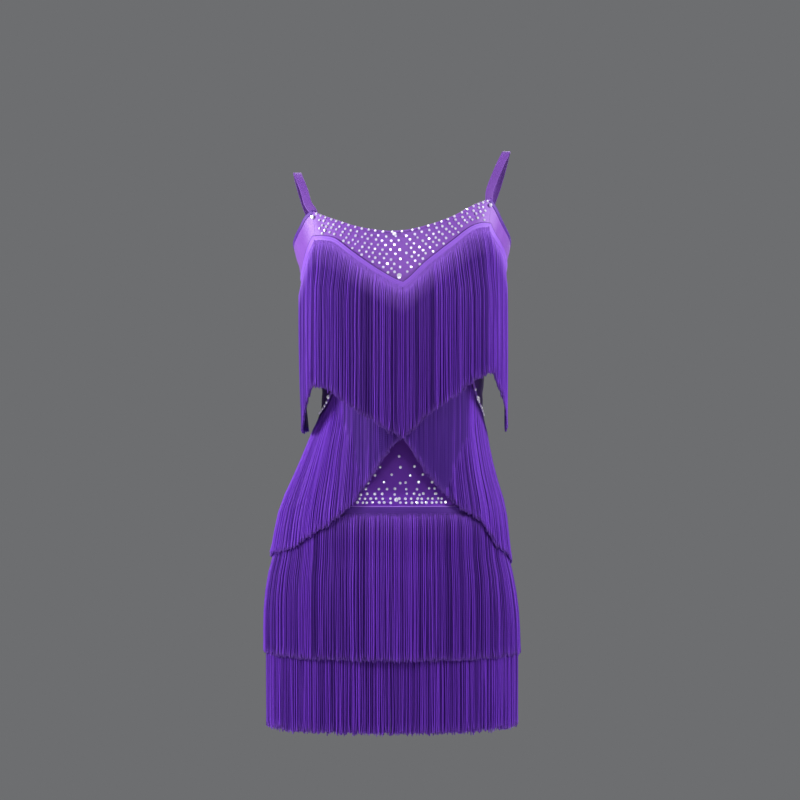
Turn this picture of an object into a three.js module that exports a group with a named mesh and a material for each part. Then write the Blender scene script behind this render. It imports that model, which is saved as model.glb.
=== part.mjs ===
// A latin dance dress in stretch satin with five runs of chainette fringe, worn shape, with nobody in it.
// Millimetres, +Z up. The front faces -Y and the dress is seen from there with +X to the right.
// The origin is at the shoulders, midway between the tops of the two straps, where a wearer holds it up.
//
// Everything is laid out on one body surface. A place on it is a turn (degrees round the body: 0 at the
// centre front, 90 at the +X side, 180 at the centre back) and a level (height in mm).
import * as THREE from 'three';

// ---- driving sizes -------------------------------------------------------------------------------------
const CLOTH_THICKNESS = 1.5;        // stretch satin with its seam allowance
const TRIM_THICKNESS = 1.5;         // fringe header tape
const BINDING_THICKNESS = 1.0;      // folded edge binding
const SEAM_GAP = 0.3;               // clear space between two pieces at a seam
const LAY_GAP = 0.9;                // clear space between a panel and what is sewn on it
const ROOT_GAP = 2.0;               // clear space between a tape's lower edge and its fringe
const FRINGE_THICKNESS = 3.0;       // a curtain of strands, two or three deep
const STEP_DOWN = 2;                // height of one step when a strand is dropped down the body

const TOP_TAPE_WIDTH = 8;
const HIP_TAPE_WIDTH = 6.5;
const SKIRT_TAPE_WIDTH = 10;
const NECK_BINDING_WIDTH = 3;
const ARMHOLE_BINDING_WIDTH = 5;
const HIP_TAPE_FRONT_TURN = 3.4;     // the hip tapes start this far from the centre front
const HIP_TAPE_BACK_TURN = 179.7;
const STRAP_WIDTH = 10.5;
const STRAP_THICKNESS = 1.5;
const STRAP_STEPS = 22;

const FRONT_SEAM_TURN = 48;         // seam between the front pieces and the side pieces
const SIDE_SEAM_TURN = 104;         // seam between the side pieces and the back
const SEAM_TRIM_TURN = 0.22;        // trims each side of an upright seam, as a turn
const BINDING_END_TURN = 3.2;       // leaves the strap's foot free between two bindings
const WAIST_SEAM_LEVEL = -235;      // side panel above, waist piece below
const SKIRT_SEAM_LEVEL = -456;      // bodice above, skirt below
const SKIRT_CLOTH_LEVEL = -662;     // lower edge of the skirt cloth, hidden by the lower fringe
const LOWER_TAPE_LEVEL = -550;      // upper edge of the lower skirt tape

// Sections of the body: superellipses whose centre, half width and two depths change with the level.
const BODY_SECTIONS = [
  { level: -710, centre: -14.5, halfWidth: 163.0, front: 100, back: 106, power: 2.3 },
  { level: -650, centre: -14.5, halfWidth: 163.0, front: 106, back: 116, power: 2.3 },
  { level: -600, centre: -15.5, halfWidth: 161.5, front: 109, back: 124, power: 2.3 },
  { level: -550, centre: -16.5, halfWidth: 155.0, front: 111, back: 129, power: 2.3 },
  { level: -510, centre: -16.0, halfWidth: 149.0, front: 111, back: 129, power: 2.3 },
  { level: -474, centre: -14.5, halfWidth: 144.0, front: 110, back: 124, power: 2.3 },
  { level: -442, centre: -12.5, halfWidth: 137.5, front: 107, back: 115, power: 2.3 },
  { level: -410, centre: -10.0, halfWidth: 126.5, front: 102, back: 102, power: 2.3 },
  { level: -378, centre: -6.6, halfWidth: 116.5, front: 97, back: 89, power: 2.3 },
  { level: -346, centre: -2.7, halfWidth: 108.5, front: 92, back: 77, power: 2.3 },
  { level: -320, centre: -1.0, halfWidth: 107.3, front: 91, back: 72, power: 2.3 },
  { level: -275, centre: -1.0, halfWidth: 110.5, front: 101, back: 74, power: 2.3 },
  { level: -230, centre: -1.5, halfWidth: 119.5, front: 119, back: 80, power: 2.35 },
  { level: -190, centre: 0.0, halfWidth: 129.0, front: 129, back: 85, power: 2.4 },
  { level: -160, centre: -0.5, halfWidth: 134.0, front: 125, back: 87, power: 2.4 },
  { level: -130, centre: -0.9, halfWidth: 141.3, front: 116, back: 88, power: 2.35 },
  { level: -100, centre: -2.0, halfWidth: 146.5, front: 104, back: 87, power: 2.3 },
  { level: -70, centre: -2.0, halfWidth: 150.0, front: 92, back: 84, power: 2.3 },
  { level: -40, centre: -2.0, halfWidth: 152.0, front: 80, back: 80, power: 2.3 },
];

// Edges and seams, each a line of turn and level. The dress hangs lower on the -X shoulder.
const NECKLINE = [
  { turn: -48, level: -73 },
  { turn: -30, level: -87 },
  { turn: -16, level: -97 },
  { turn: -2, level: -101 },
  { turn: 12, level: -92 },
  { turn: 24, level: -80 },
  { turn: 36, level: -65 },
  { turn: 48, level: -56 },
];
const LEFT_ARMHOLE = [
  { turn: -104, level: -118 },
  { turn: -88, level: -114 },
  { turn: -76, level: -106 },
  { turn: -64, level: -93 },
  { turn: -56, level: -79 },
  { turn: -48, level: -71 },
];
const RIGHT_ARMHOLE = [
  { turn: 48, level: -55 },
  { turn: 54, level: -68 },
  { turn: 62, level: -85 },
  { turn: 72, level: -98 },
  { turn: 88, level: -110 },
  { turn: 104, level: -116 },
];
const BACK_EDGE = [
  { turn: 104, level: -116 },
  { turn: 123, level: -118 },
  { turn: 142, level: -128 },
  { turn: 161, level: -150 },
  { turn: 180, level: -160 },
  { turn: 199, level: -151 },
  { turn: 218, level: -130 },
  { turn: 237, level: -120 },
  { turn: 256, level: -118 },
];
// The V of the top tape: its upper edge, from the -X end of the tape round the front to the +X end.
const TOP_TAPE_LEFT_SIDE = [
  { turn: -97, level: -162 },
  { turn: -83, level: -156 },
  { turn: -74, level: -149 },
  { turn: -66, level: -138 },
  { turn: -57, level: -120 },
  { turn: -50, level: -105 },
];
const TOP_TAPE_LEFT_V = [
  { turn: -50, level: -105 },
  { turn: -42, level: -105 },
  { turn: -33, level: -109 },
  { turn: -24, level: -125 },
  { turn: -13, level: -145 },
  { turn: 0, level: -167 },
];
const TOP_TAPE_RIGHT_V = [
  { turn: 0, level: -167 },
  { turn: 8, level: -143 },
  { turn: 16, level: -126 },
  { turn: 24, level: -111 },
  { turn: 33, level: -95 },
  { turn: 41, level: -88 },
  { turn: 49, level: -88 },
];
const TOP_TAPE_RIGHT_SIDE = [
  { turn: 49, level: -88 },
  { turn: 54, level: -101 },
  { turn: 64, level: -117 },
  { turn: 76, level: -134 },
  { turn: 85, level: -145 },
  { turn: 94, level: -151 },
];
// The hip line: seam under the two hip tapes, from under the top tape's point down to the side waist
// and on to the centre back.
const LEFT_HIP_LINE = [
  { turn: -180, level: -380 },
  { turn: -150, level: -364 },
  { turn: -120, level: -350 },
  { turn: -104, level: -344 },
  { turn: -88, level: -335 },
  { turn: -76, level: -330 },
  { turn: -65, level: -320 },
  { turn: -56, level: -304 },
  { turn: -45, level: -286 },
  { turn: -33, level: -263 },
  { turn: -27, level: -249 },
  { turn: -19, level: -229 },
  { turn: -11, level: -208 },
  { turn: -6, level: -194 },
  { turn: 0, level: -180 },
];
const RIGHT_HIP_LINE = [
  { turn: 0, level: -180 },
  { turn: 6, level: -203 },
  { turn: 13, level: -220 },
  { turn: 20, level: -233 },
  { turn: 27, level: -247 },
  { turn: 35, level: -260 },
  { turn: 43, level: -271 },
  { turn: 53, level: -282 },
  { turn: 58, level: -298 },
  { turn: 64, level: -314 },
  { turn: 76, level: -328 },
  { turn: 88, level: -337 },
  { turn: 104, level: -344 },
  { turn: 120, level: -350 },
  { turn: 150, level: -364 },
  { turn: 180, level: -380 },
];

// Free length of a strand below its tape, by how far round from the centre front it hangs. The hip fringe
// is trimmed shorter where it meets the point of the top fringe.
const FRINGE_DROP = [
  { turn: 0, drop: 190 },
  { turn: 180, drop: 190 },
];
const HIP_FRINGE_DROP = [
  { turn: 0, drop: 178 },
  { turn: 12, drop: 187 },
  { turn: 40, drop: 192 },
  { turn: 180, drop: 192 },
];

// How far each curtain of fringe stands off the body at a level, so that it clears what lies under it.
const TOP_FRINGE_LAYER = [
  { level: -150, offset: 1.8 },
  { level: -170, offset: 5.6 },
];
const HIP_FRINGE_LAYER = [
  { level: -400, offset: 1.5 },
  { level: -430, offset: 6.2 },
  { level: -490, offset: 6.2 },
  { level: -520, offset: 10.8 },
];
const UPPER_FRINGE_LAYER = [
  { level: -500, offset: 1.6 },
  { level: -530, offset: 6.2 },
];
const LOWER_FRINGE_LAYER = [
  { level: -560, offset: 1.8 },
];

// The two straps: where each foot is sewn inside the yoke and the back panel, as turn and level, the free
// line over the shoulder between them, and how far each foot turns from facing straight ahead, in degrees.
const LEFT_STRAP = {
  frontFoot: [{ turn: -48, level: -86 }, { turn: -48.6, level: -73 }],
  overShoulder: [
    { x: -124.5, y: -55.5, z: -62 },
    { x: -130.0, y: -39.0, z: -44 },
    { x: -137.0, y: -18.0, z: -26 },
    { x: -141.0, y: 3.0, z: -16.5 },
    { x: -139.5, y: 28.0, z: -27 },
    { x: -129.0, y: 52.0, z: -62 },
    { x: -112.0, y: 63.5, z: -100 },
  ],
  backFoot: [{ turn: -142, level: -130 }, { turn: -143, level: -143 }],
  frontTwist: -35,
  backTwist: 25,
};
const RIGHT_STRAP = {
  frontFoot: [{ turn: 47.4, level: -70 }, { turn: 47.4, level: -57 }],
  overShoulder: [
    { x: 113.5, y: -54.5, z: -46 },
    { x: 119.5, y: -40.0, z: -29 },
    { x: 127.0, y: -23.0, z: -11 },
    { x: 134.5, y: -7.0, z: 5 },
    { x: 138.0, y: 6.0, z: 12 },
    { x: 136.0, y: 28.0, z: 1 },
    { x: 126.0, y: 51.0, z: -35 },
    { x: 109.0, y: 63.0, z: -82 },
  ],
  backFoot: [{ turn: 142, level: -128 }, { turn: 143, level: -141 }],
  frontTwist: 35,
  backTwist: -25,
};

const COLOURS = {
  satin: 0x7a45b8,
  darkSatin: 0x3a2068,
  belly: 0x55308c,
  tape: 0x6a3aa8,
  fringe: 0x55298f,
  elastic: 0x7d4aa8,
};

// ---- reading the tables --------------------------------------------------------------------------------

// Smooth value of a column at a place in a table sorted by rising key; flat beyond its two ends.
function smoothValue(rows, key, column, place) {
  const last = rows.length - 1;
  const at = THREE.MathUtils.clamp(place, rows[0][key], rows[last][key]);
  let left = 0;
  while (left < last - 1 && rows[left + 1][key] < at) {
    left += 1;
  }
  const slope = (index) => {
    const before = rows[Math.max(index - 1, 0)];
    const after = rows[Math.min(index + 1, last)];
    return (after[column] - before[column]) / (after[key] - before[key]);
  };
  const span = rows[left + 1][key] - rows[left][key];
  const t = (at - rows[left][key]) / span;
  const rise = t * t * (3 - 2 * t);
  const leaving = t * (1 - t) * (1 - t) * slope(left) * span;
  const arriving = t * t * (t - 1) * slope(left + 1) * span;
  return THREE.MathUtils.lerp(rows[left][column], rows[left + 1][column], rise) + leaving + arriving;
}

// Straight-line value of the offset in a layer table sorted by falling level.
function layerOffset(layer, level) {
  let index = 0;
  while (index < layer.length && layer[index].level > level) {
    index += 1;
  }
  if (index === 0) {
    return layer[0].offset;
  }
  if (index === layer.length) {
    return layer[index - 1].offset;
  }
  const above = layer[index - 1];
  const below = layer[index];
  const t = (above.level - level) / (above.level - below.level);
  return THREE.MathUtils.lerp(above.offset, below.offset, t);
}

function lineLevel(line) {
  return (turn) => smoothValue(line, 'turn', 'level', turn);
}

// ---- the body surface ----------------------------------------------------------------------------------

function sectionAt(level) {
  const read = (column) => smoothValue(BODY_SECTIONS, 'level', column, level);
  return {
    centre: read('centre'),
    halfWidth: read('halfWidth'),
    front: read('front'),
    back: read('back'),
    power: read('power'),
  };
}

function signedPower(value, exponent) {
  return Math.sign(value) * Math.abs(value) ** exponent;
}

function bodyPoint(turn, level) {
  const section = sectionAt(level);
  const angle = THREE.MathUtils.degToRad(turn);
  const exponent = 2 / section.power;
  const across = signedPower(Math.sin(angle), exponent);
  const ahead = signedPower(Math.cos(angle), exponent);
  const depth = ahead > 0 ? section.front : section.back;
  return new THREE.Vector3(section.centre + section.halfWidth * across, -depth * ahead, level);
}

// Directions along the turn and the level, as mm of surface for one degree and for one mm of level.
function bodyFrame(turn, level) {
  const halfTurn = 0.5;
  const halfLevel = 1;
  const alongTurn = bodyPoint(turn + halfTurn, level).sub(bodyPoint(turn - halfTurn, level));
  const alongLevel = bodyPoint(turn, level + halfLevel).sub(bodyPoint(turn, level - halfLevel));
  alongLevel.divideScalar(2 * halfLevel);
  const normal = new THREE.Vector3().crossVectors(alongTurn, alongLevel).normalize();
  return { alongTurn, alongLevel, normal };
}

function raisedPoint(turn, level, offset) {
  return bodyPoint(turn, level).addScaledVector(bodyFrame(turn, level).normal, offset);
}

// Turns that every piece shares, so that neighbours have the same facets.
function sharedTurns(from, to) {
  const turns = [];
  const zones = [
    { start: 0, end: FRONT_SEAM_TURN, steps: 8 },
    { start: FRONT_SEAM_TURN, end: SIDE_SEAM_TURN, steps: 7 },
    { start: SIDE_SEAM_TURN, end: 180, steps: 7 },
  ];
  for (const zone of zones) {
    for (let step = 0; step < zone.steps; step += 1) {
      turns.push(THREE.MathUtils.lerp(zone.start, zone.end, step / zone.steps));
    }
  }
  const ring = [...turns.map((turn) => -turn), ...turns, 180, 360 - FRONT_SEAM_TURN];
  turns.forEach((turn) => ring.push(360 - turn));
  const inside = ring.filter((turn) => turn > from + 0.5 && turn < to - 0.5);
  return [from, ...new Set(inside.sort((a, b) => a - b)), to];
}

// ---- closed walls --------------------------------------------------------------------------------------

// A closed wall between two grids of points, outer and inner. grid[column][row], columns by rising turn
// and rows downwards. A ring joins its last column to its first.
function wallGeometry(outer, inner, isRing = false) {
  const columns = outer.length;
  const rows = outer[0].length;
  const positions = [];
  for (const grid of [outer, inner]) {
    for (const column of grid) {
      for (const point of column) {
        positions.push(point.x, point.y, point.z);
      }
    }
  }
  const out = (column, row) => (column % columns) * rows + row;
  const within = (column, row) => columns * rows + out(column, row);
  const triangles = [];
  const quad = (a, b, c, d) => triangles.push(a, b, c, a, c, d);
  const spans = isRing ? columns : columns - 1;
  for (let column = 0; column < spans; column += 1) {
    const next = column + 1;
    for (let row = 0; row < rows - 1; row += 1) {
      const under = row + 1;
      quad(out(column, row), out(column, under), out(next, under), out(next, row));
      quad(within(column, row), within(next, row), within(next, under), within(column, under));
    }
    const last = rows - 1;
    quad(out(column, 0), out(next, 0), within(next, 0), within(column, 0));
    quad(out(column, last), within(column, last), within(next, last), out(next, last));
  }
  if (!isRing) {
    const end = columns - 1;
    for (let row = 0; row < rows - 1; row += 1) {
      quad(within(0, row), within(0, row + 1), out(0, row + 1), out(0, row));
      quad(out(end, row), out(end, row + 1), within(end, row + 1), within(end, row));
    }
  }
  const geometry = new THREE.BufferGeometry();
  geometry.setAttribute('position', new THREE.Float32BufferAttribute(positions, 3));
  geometry.setIndex(triangles);
  geometry.computeVertexNormals();
  return geometry;
}

// A cloth panel between two turns, from its top line down to its bottom line. Its rows of facets crowd
// towards the top by the given power.
function panelGeometry({ from, to, top, bottom, rows, crowding = 1 }) {
  const turns = sharedTurns(from, to);
  turns[0] += SEAM_TRIM_TURN;
  turns[turns.length - 1] -= SEAM_TRIM_TURN;
  const grid = (offset) => turns.map((turn) => {
    const column = [];
    for (let row = 0; row <= rows; row += 1) {
      const level = THREE.MathUtils.lerp(top(turn), bottom(turn), (row / rows) ** crowding);
      column.push(raisedPoint(turn, level, offset));
    }
    return column;
  });
  return wallGeometry(grid(0), grid(-CLOTH_THICKNESS));
}

// ---- bands: tapes and bindings -------------------------------------------------------------------------

// The places along a run of lines, at the shared turns and at the lines' own ends.
function placesAlong(lines) {
  const places = [];
  lines.forEach((line, index) => {
    const turns = sharedTurns(line[0].turn, line[line.length - 1].turn);
    const level = lineLevel(line);
    turns.slice(index === 0 ? 0 : 1).forEach((turn) => places.push({ turn, level: level(turn) }));
  });
  return places;
}

// Moves each place sideways by a distance over the surface, with mitred corners. Positive is upwards.
function shiftedPlaces(places, distance, isRing = false) {
  const count = places.length;
  return places.map((place, index) => {
    const frame = bodyFrame(place.turn, place.level);
    const turnScale = frame.alongTurn.length();
    const levelScale = frame.alongLevel.length();
    const sideOf = (from, to) => {
      const forward = new THREE.Vector2(
        (to.turn - from.turn) * turnScale,
        (to.level - from.level) * levelScale,
      ).normalize();
      return new THREE.Vector2(-forward.y, forward.x);
    };
    const before = index > 0 ? sideOf(places[index - 1], place) : null;
    const after = index < count - 1 ? sideOf(place, places[index + 1]) : null;
    const straightUp = new THREE.Vector2(0, 1);
    const first = isRing ? straightUp : before ?? after;
    const second = isRing ? straightUp : after ?? before;
    const mitre = first.clone().add(second).normalize();
    const reach = distance / mitre.dot(first);
    return {
      turn: place.turn + (mitre.x * reach) / turnScale,
      level: place.level + (mitre.y * reach) / levelScale,
    };
  });
}

// A flat band sewn on the panels, from a line to a width below it over the surface.
function bandGeometry({ places, width, thickness, isRing = false }) {
  const lower = shiftedPlaces(places, -width, isRing);
  const grid = (offset) => places.map((place, index) => [
    raisedPoint(place.turn, place.level, offset),
    raisedPoint(lower[index].turn, lower[index].level, offset),
  ]);
  return wallGeometry(grid(LAY_GAP + thickness), grid(LAY_GAP), isRing);
}

// ---- fringe --------------------------------------------------------------------------------------------

// Outward direction and depth inside of a point against the body section grown by an offset.
function bodyContact(point, level, offset) {
  const section = sectionAt(level);
  const halfWidth = section.halfWidth + offset;
  const depth = (point.y < 0 ? section.front : section.back) + offset;
  const across = (point.x - section.centre) / halfWidth;
  const ahead = point.y / depth;
  const power = section.power;
  const value = Math.abs(across) ** power + Math.abs(ahead) ** power - 1;
  const slope = new THREE.Vector2(
    (power * signedPower(across, power - 1)) / halfWidth,
    (power * signedPower(ahead, power - 1)) / depth,
  );
  const steepness = Math.max(slope.length(), 1e-6);
  return { outward: slope.divideScalar(steepness), inside: -value / steepness };
}

// The line that a strand takes from its root: plumb where it hangs free, pushed out where it meets the body.
function strandLine(root, drop, layer, rows) {
  const start = bodyPoint(root.turn, root.level);
  const place = new THREE.Vector2(start.x, start.y);
  const push = (level) => {
    for (let pass = 0; pass < 3; pass += 1) {
      const contact = bodyContact(place, level, layerOffset(layer, level));
      if (contact.inside > 0 || level === root.level) {
        place.addScaledVector(contact.outward, contact.inside);
      }
    }
  };
  push(root.level);
  const steps = [{ x: place.x, y: place.y, z: root.level, run: 0 }];
  while (steps[steps.length - 1].run < drop) {
    const last = steps[steps.length - 1];
    const level = last.z - STEP_DOWN;
    push(level);
    const run = last.run + Math.hypot(place.x - last.x, place.y - last.y, STEP_DOWN);
    steps.push({ x: place.x, y: place.y, z: level, run });
  }
  const line = [];
  for (let row = 0; row <= rows; row += 1) {
    const run = (drop * row) / rows;
    const read = (column) => smoothValue(steps, 'run', column, run);
    line.push(new THREE.Vector3(read('x'), read('y'), read('z')));
  }
  return line;
}

// The plain reach of a curtain of strands hung from a row of roots.
function fringeGeometry({ roots, drops, layer, rows, isRing = false }) {
  const dropOf = (root) => smoothValue(drops, 'turn', 'drop', Math.abs(root.turn));
  const inner = roots.map((root) => strandLine(root, dropOf(root), layer, rows));
  const outer = inner.map((line) => line.map((point) => {
    const contact = bodyContact(point, point.z, layerOffset(layer, point.z));
    const outward = new THREE.Vector3(contact.outward.x, contact.outward.y, 0);
    return point.clone().addScaledVector(outward, FRINGE_THICKNESS);
  }));
  return wallGeometry(outer, inner, isRing);
}

// ---- straps --------------------------------------------------------------------------------------------

// Flat elastic over the shoulder. Its feet lie flat inside the panels and its crest is level across.
function strapGeometry({ frontFoot, overShoulder, backFoot, frontTwist, backTwist }) {
  const insidePanel = -(CLOTH_THICKNESS + LAY_GAP + STRAP_THICKNESS / 2);
  const footPoint = (place) => raisedPoint(place.turn, place.level, insidePanel);
  const freePoint = (row) => new THREE.Vector3(row.x, row.y, row.z);
  const points = [...frontFoot.map(footPoint), ...overShoulder.map(freePoint), ...backFoot.map(footPoint)];
  const curve = new THREE.CatmullRomCurve3(points, false, 'centripetal');
  const up = new THREE.Vector3(0, 0, 1);
  const outer = [];
  const inner = [];
  for (let step = 0; step <= STRAP_STEPS; step += 1) {
    const along = step / STRAP_STEPS;
    const middle = curve.getPointAt(along);
    const tangent = curve.getTangentAt(along);
    const turned = THREE.MathUtils.lerp(frontTwist, backTwist, (1 - Math.cos(Math.PI * along)) / 2);
    const twist = THREE.MathUtils.degToRad(turned);
    const across = new THREE.Vector3(1, 0, 0).applyAxisAngle(up, twist);
    const side = across.addScaledVector(tangent, -tangent.dot(across)).normalize();
    const face = new THREE.Vector3().crossVectors(side, tangent).normalize();
    const corner = (sideways, outwards) => middle.clone()
      .addScaledVector(side, (sideways * STRAP_WIDTH) / 2)
      .addScaledVector(face, (outwards * STRAP_THICKNESS) / 2);
    outer.push([corner(-1, 1), corner(1, 1)]);
    inner.push([corner(-1, -1), corner(1, -1)]);
  }
  return wallGeometry(outer, inner);
}

// ---- the dress -----------------------------------------------------------------------------------------

const dress = new THREE.Group();

function addPiece(name, geometry, colour, roughness) {
  const material = new THREE.MeshStandardMaterial({ color: colour, roughness, metalness: 0 });
  const mesh = new THREE.Mesh(geometry, material);
  mesh.name = name;
  dress.add(mesh);
}

const TOP_TAPE_LINES = [TOP_TAPE_LEFT_SIDE, TOP_TAPE_LEFT_V, TOP_TAPE_RIGHT_V, TOP_TAPE_RIGHT_SIDE];
const hipLevel = (turn) => lineLevel(turn < 0 ? LEFT_HIP_LINE : RIGHT_HIP_LINE)(turn);
const vLevel = (turn) => lineLevel(turn < 0 ? TOP_TAPE_LEFT_V : TOP_TAPE_RIGHT_V)(turn);
const yokeSeam = (turn) => vLevel(turn) - TOP_TAPE_WIDTH / 2;
const constantLevel = (level) => () => level;

function addPanels() {
  const front = { from: -FRONT_SEAM_TURN, to: FRONT_SEAM_TURN };
  const belowYoke = (turn) => yokeSeam(turn) - SEAM_GAP;
  addPiece('front_yoke', panelGeometry({
    ...front, top: lineLevel(NECKLINE), bottom: yokeSeam, rows: 3,
  }), COLOURS.satin, 0.4);
  addPiece('bodice_front', panelGeometry({
    ...front, top: belowYoke, bottom: hipLevel, rows: 6,
  }), COLOURS.satin, 0.4);

  const sides = [
    { name: 'left', from: -SIDE_SEAM_TURN, to: -FRONT_SEAM_TURN, armhole: LEFT_ARMHOLE },
    { name: 'right', from: FRONT_SEAM_TURN, to: SIDE_SEAM_TURN, armhole: RIGHT_ARMHOLE },
  ];
  for (const { name, from, to, armhole } of sides) {
    addPiece(`side_panel_${name}`, panelGeometry({
      from, to, top: lineLevel(armhole), bottom: constantLevel(WAIST_SEAM_LEVEL), rows: 6,
    }), COLOURS.satin, 0.4);
    addPiece(`waist_piece_${name}`, panelGeometry({
      from, to, top: constantLevel(WAIST_SEAM_LEVEL - SEAM_GAP), bottom: hipLevel, rows: 4,
    }), COLOURS.darkSatin, 0.6);
  }

  const wholeFront = { from: -SIDE_SEAM_TURN, to: SIDE_SEAM_TURN };
  const wholeBack = { from: SIDE_SEAM_TURN, to: 360 - SIDE_SEAM_TURN };
  const belowHip = (turn) => hipLevel(turn) - SEAM_GAP;
  const skirt = {
    top: constantLevel(SKIRT_SEAM_LEVEL - SEAM_GAP), bottom: constantLevel(SKIRT_CLOTH_LEVEL), rows: 5,
  };
  addPiece('belly_panel', panelGeometry({
    ...wholeFront, top: belowHip, bottom: constantLevel(SKIRT_SEAM_LEVEL), rows: 7, crowding: 1.4,
  }), COLOURS.belly, 0.7);
  addPiece('back_panel', panelGeometry({
    ...wholeBack, top: lineLevel(BACK_EDGE), bottom: constantLevel(SKIRT_SEAM_LEVEL), rows: 13,
  }), COLOURS.satin, 0.4);
  addPiece('skirt_front', panelGeometry({ ...wholeFront, ...skirt }), COLOURS.satin, 0.4);
  addPiece('skirt_back', panelGeometry({ ...wholeBack, ...skirt }), COLOURS.satin, 0.4);
}

function addBindings() {
  const bindings = [
    { name: 'neckline_binding', line: NECKLINE, width: NECK_BINDING_WIDTH },
    { name: 'armhole_binding_left', line: LEFT_ARMHOLE, width: ARMHOLE_BINDING_WIDTH },
    { name: 'armhole_binding_right', line: RIGHT_ARMHOLE, width: ARMHOLE_BINDING_WIDTH },
    { name: 'back_binding', line: BACK_EDGE, width: ARMHOLE_BINDING_WIDTH },
  ];
  for (const { name, line, width } of bindings) {
    const places = placesAlong([line]);
    places[0].turn += BINDING_END_TURN / 2;
    places[places.length - 1].turn -= BINDING_END_TURN / 2;
    const binding = bandGeometry({ places, width, thickness: BINDING_THICKNESS });
    addPiece(name, binding, COLOURS.tape, 0.5);
  }
}

function addStraps() {
  addPiece('strap_left', strapGeometry(LEFT_STRAP), COLOURS.elastic, 0.7);
  addPiece('strap_right', strapGeometry(RIGHT_STRAP), COLOURS.elastic, 0.7);
}

// A tape sewn below a line and the curtain of fringe that hangs from the tape's lower edge.
function addTrim({ name, places, width, layer, rows, drops = FRINGE_DROP, isRing = false }) {
  const thickness = TRIM_THICKNESS;
  const tape = bandGeometry({ places, width, thickness, isRing });
  const roots = shiftedPlaces(places, -(width + ROOT_GAP), isRing);
  addPiece(`tape_${name}`, tape, COLOURS.tape, 0.6);
  addPiece(`fringe_${name}`, fringeGeometry({ roots, drops, layer, rows, isRing }), COLOURS.fringe, 0.5);
}

function addTrims() {
  addTrim({
    name: 'top', places: placesAlong(TOP_TAPE_LINES), width: TOP_TAPE_WIDTH, layer: TOP_FRINGE_LAYER, rows: 5,
  });

  const hips = [
    { name: 'left', from: -HIP_TAPE_BACK_TURN, to: -HIP_TAPE_FRONT_TURN },
    { name: 'right', from: HIP_TAPE_FRONT_TURN, to: HIP_TAPE_BACK_TURN },
  ];
  for (const { name, from, to } of hips) {
    addTrim({
      name: `hip_${name}`,
      places: sharedTurns(from, to).map((turn) => ({ turn, level: hipLevel(turn) })),
      width: HIP_TAPE_WIDTH, layer: HIP_FRINGE_LAYER, drops: HIP_FRINGE_DROP, rows: 5,
    });
  }

  const ringPlaces = (level) => sharedTurns(-180, 180).slice(1).map((turn) => ({ turn, level }));
  addTrim({
    name: 'skirt_upper', places: ringPlaces(SKIRT_SEAM_LEVEL), width: SKIRT_TAPE_WIDTH,
    layer: UPPER_FRINGE_LAYER, rows: 4, isRing: true,
  });
  addTrim({
    name: 'skirt_lower', places: ringPlaces(LOWER_TAPE_LEVEL), width: SKIRT_TAPE_WIDTH,
    layer: LOWER_FRINGE_LAYER, rows: 3, isRing: true,
  });
}

addPanels();
addBindings();
addStraps();
addTrims();

export default dress;
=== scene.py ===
"""Looks of a latin dance dress: satin panels, runs of fringe and rhinestones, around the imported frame."""

from __future__ import annotations

import logging
import math
from dataclasses import dataclass
from enum import Enum
from typing import Callable, Optional, Sequence, Union

import bpy
import numpy as np
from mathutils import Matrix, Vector


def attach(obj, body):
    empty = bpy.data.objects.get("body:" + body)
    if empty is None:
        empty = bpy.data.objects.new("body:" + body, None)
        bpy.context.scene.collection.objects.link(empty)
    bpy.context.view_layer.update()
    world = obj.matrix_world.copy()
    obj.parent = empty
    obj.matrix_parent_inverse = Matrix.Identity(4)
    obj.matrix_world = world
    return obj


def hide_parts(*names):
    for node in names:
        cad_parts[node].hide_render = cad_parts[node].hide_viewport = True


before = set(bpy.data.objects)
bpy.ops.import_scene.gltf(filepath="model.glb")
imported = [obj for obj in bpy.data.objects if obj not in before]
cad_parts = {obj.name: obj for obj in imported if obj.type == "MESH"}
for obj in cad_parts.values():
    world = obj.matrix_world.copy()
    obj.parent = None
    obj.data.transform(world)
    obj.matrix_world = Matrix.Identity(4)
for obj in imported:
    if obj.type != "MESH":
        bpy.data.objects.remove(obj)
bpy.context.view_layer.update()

LOG = logging.getLogger("dress")
BODY = "root"
MM = 0.001
UV_NAME = "cloth"
TONE_NAME = "tone"
TIP_AND_ROOT_HIGHLIGHT_NAME = "tip"
Array = np.ndarray
LevelOf = Callable[[Array], Array]
Colour = tuple[float, float, float]
Line = Sequence[tuple[float, float]]
Place = tuple[float, float, float]


# ---- the body surface, in millimetres as in the cutting tables ------------------------------------------


@dataclass(frozen=True)
class Section:
    """One level cut through the body: a superellipse with its own front and back depth."""

    level: float
    centre: float
    half_width: float
    front: float
    back: float
    power: float


BODY_SECTIONS = (
    Section(-710, -14.5, 163.0, 100, 106, 2.3),
    Section(-650, -14.5, 163.0, 106, 116, 2.3),
    Section(-600, -15.5, 161.5, 109, 124, 2.3),
    Section(-550, -16.5, 155.0, 111, 129, 2.3),
    Section(-510, -16.0, 149.0, 111, 129, 2.3),
    Section(-474, -14.5, 144.0, 110, 124, 2.3),
    Section(-442, -12.5, 137.5, 107, 115, 2.3),
    Section(-410, -10.0, 126.5, 102, 102, 2.3),
    Section(-378, -6.6, 116.5, 97, 89, 2.3),
    Section(-346, -2.7, 108.5, 92, 77, 2.3),
    Section(-320, -1.0, 107.3, 91, 72, 2.3),
    Section(-275, -1.0, 110.5, 101, 74, 2.3),
    Section(-230, -1.5, 119.5, 119, 80, 2.35),
    Section(-190, 0.0, 129.0, 129, 85, 2.4),
    Section(-160, -0.5, 134.0, 125, 87, 2.4),
    Section(-130, -0.9, 141.3, 116, 88, 2.35),
    Section(-100, -2.0, 146.5, 104, 87, 2.3),
    Section(-70, -2.0, 150.0, 92, 84, 2.3),
    Section(-40, -2.0, 152.0, 80, 80, 2.3),
)

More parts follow.
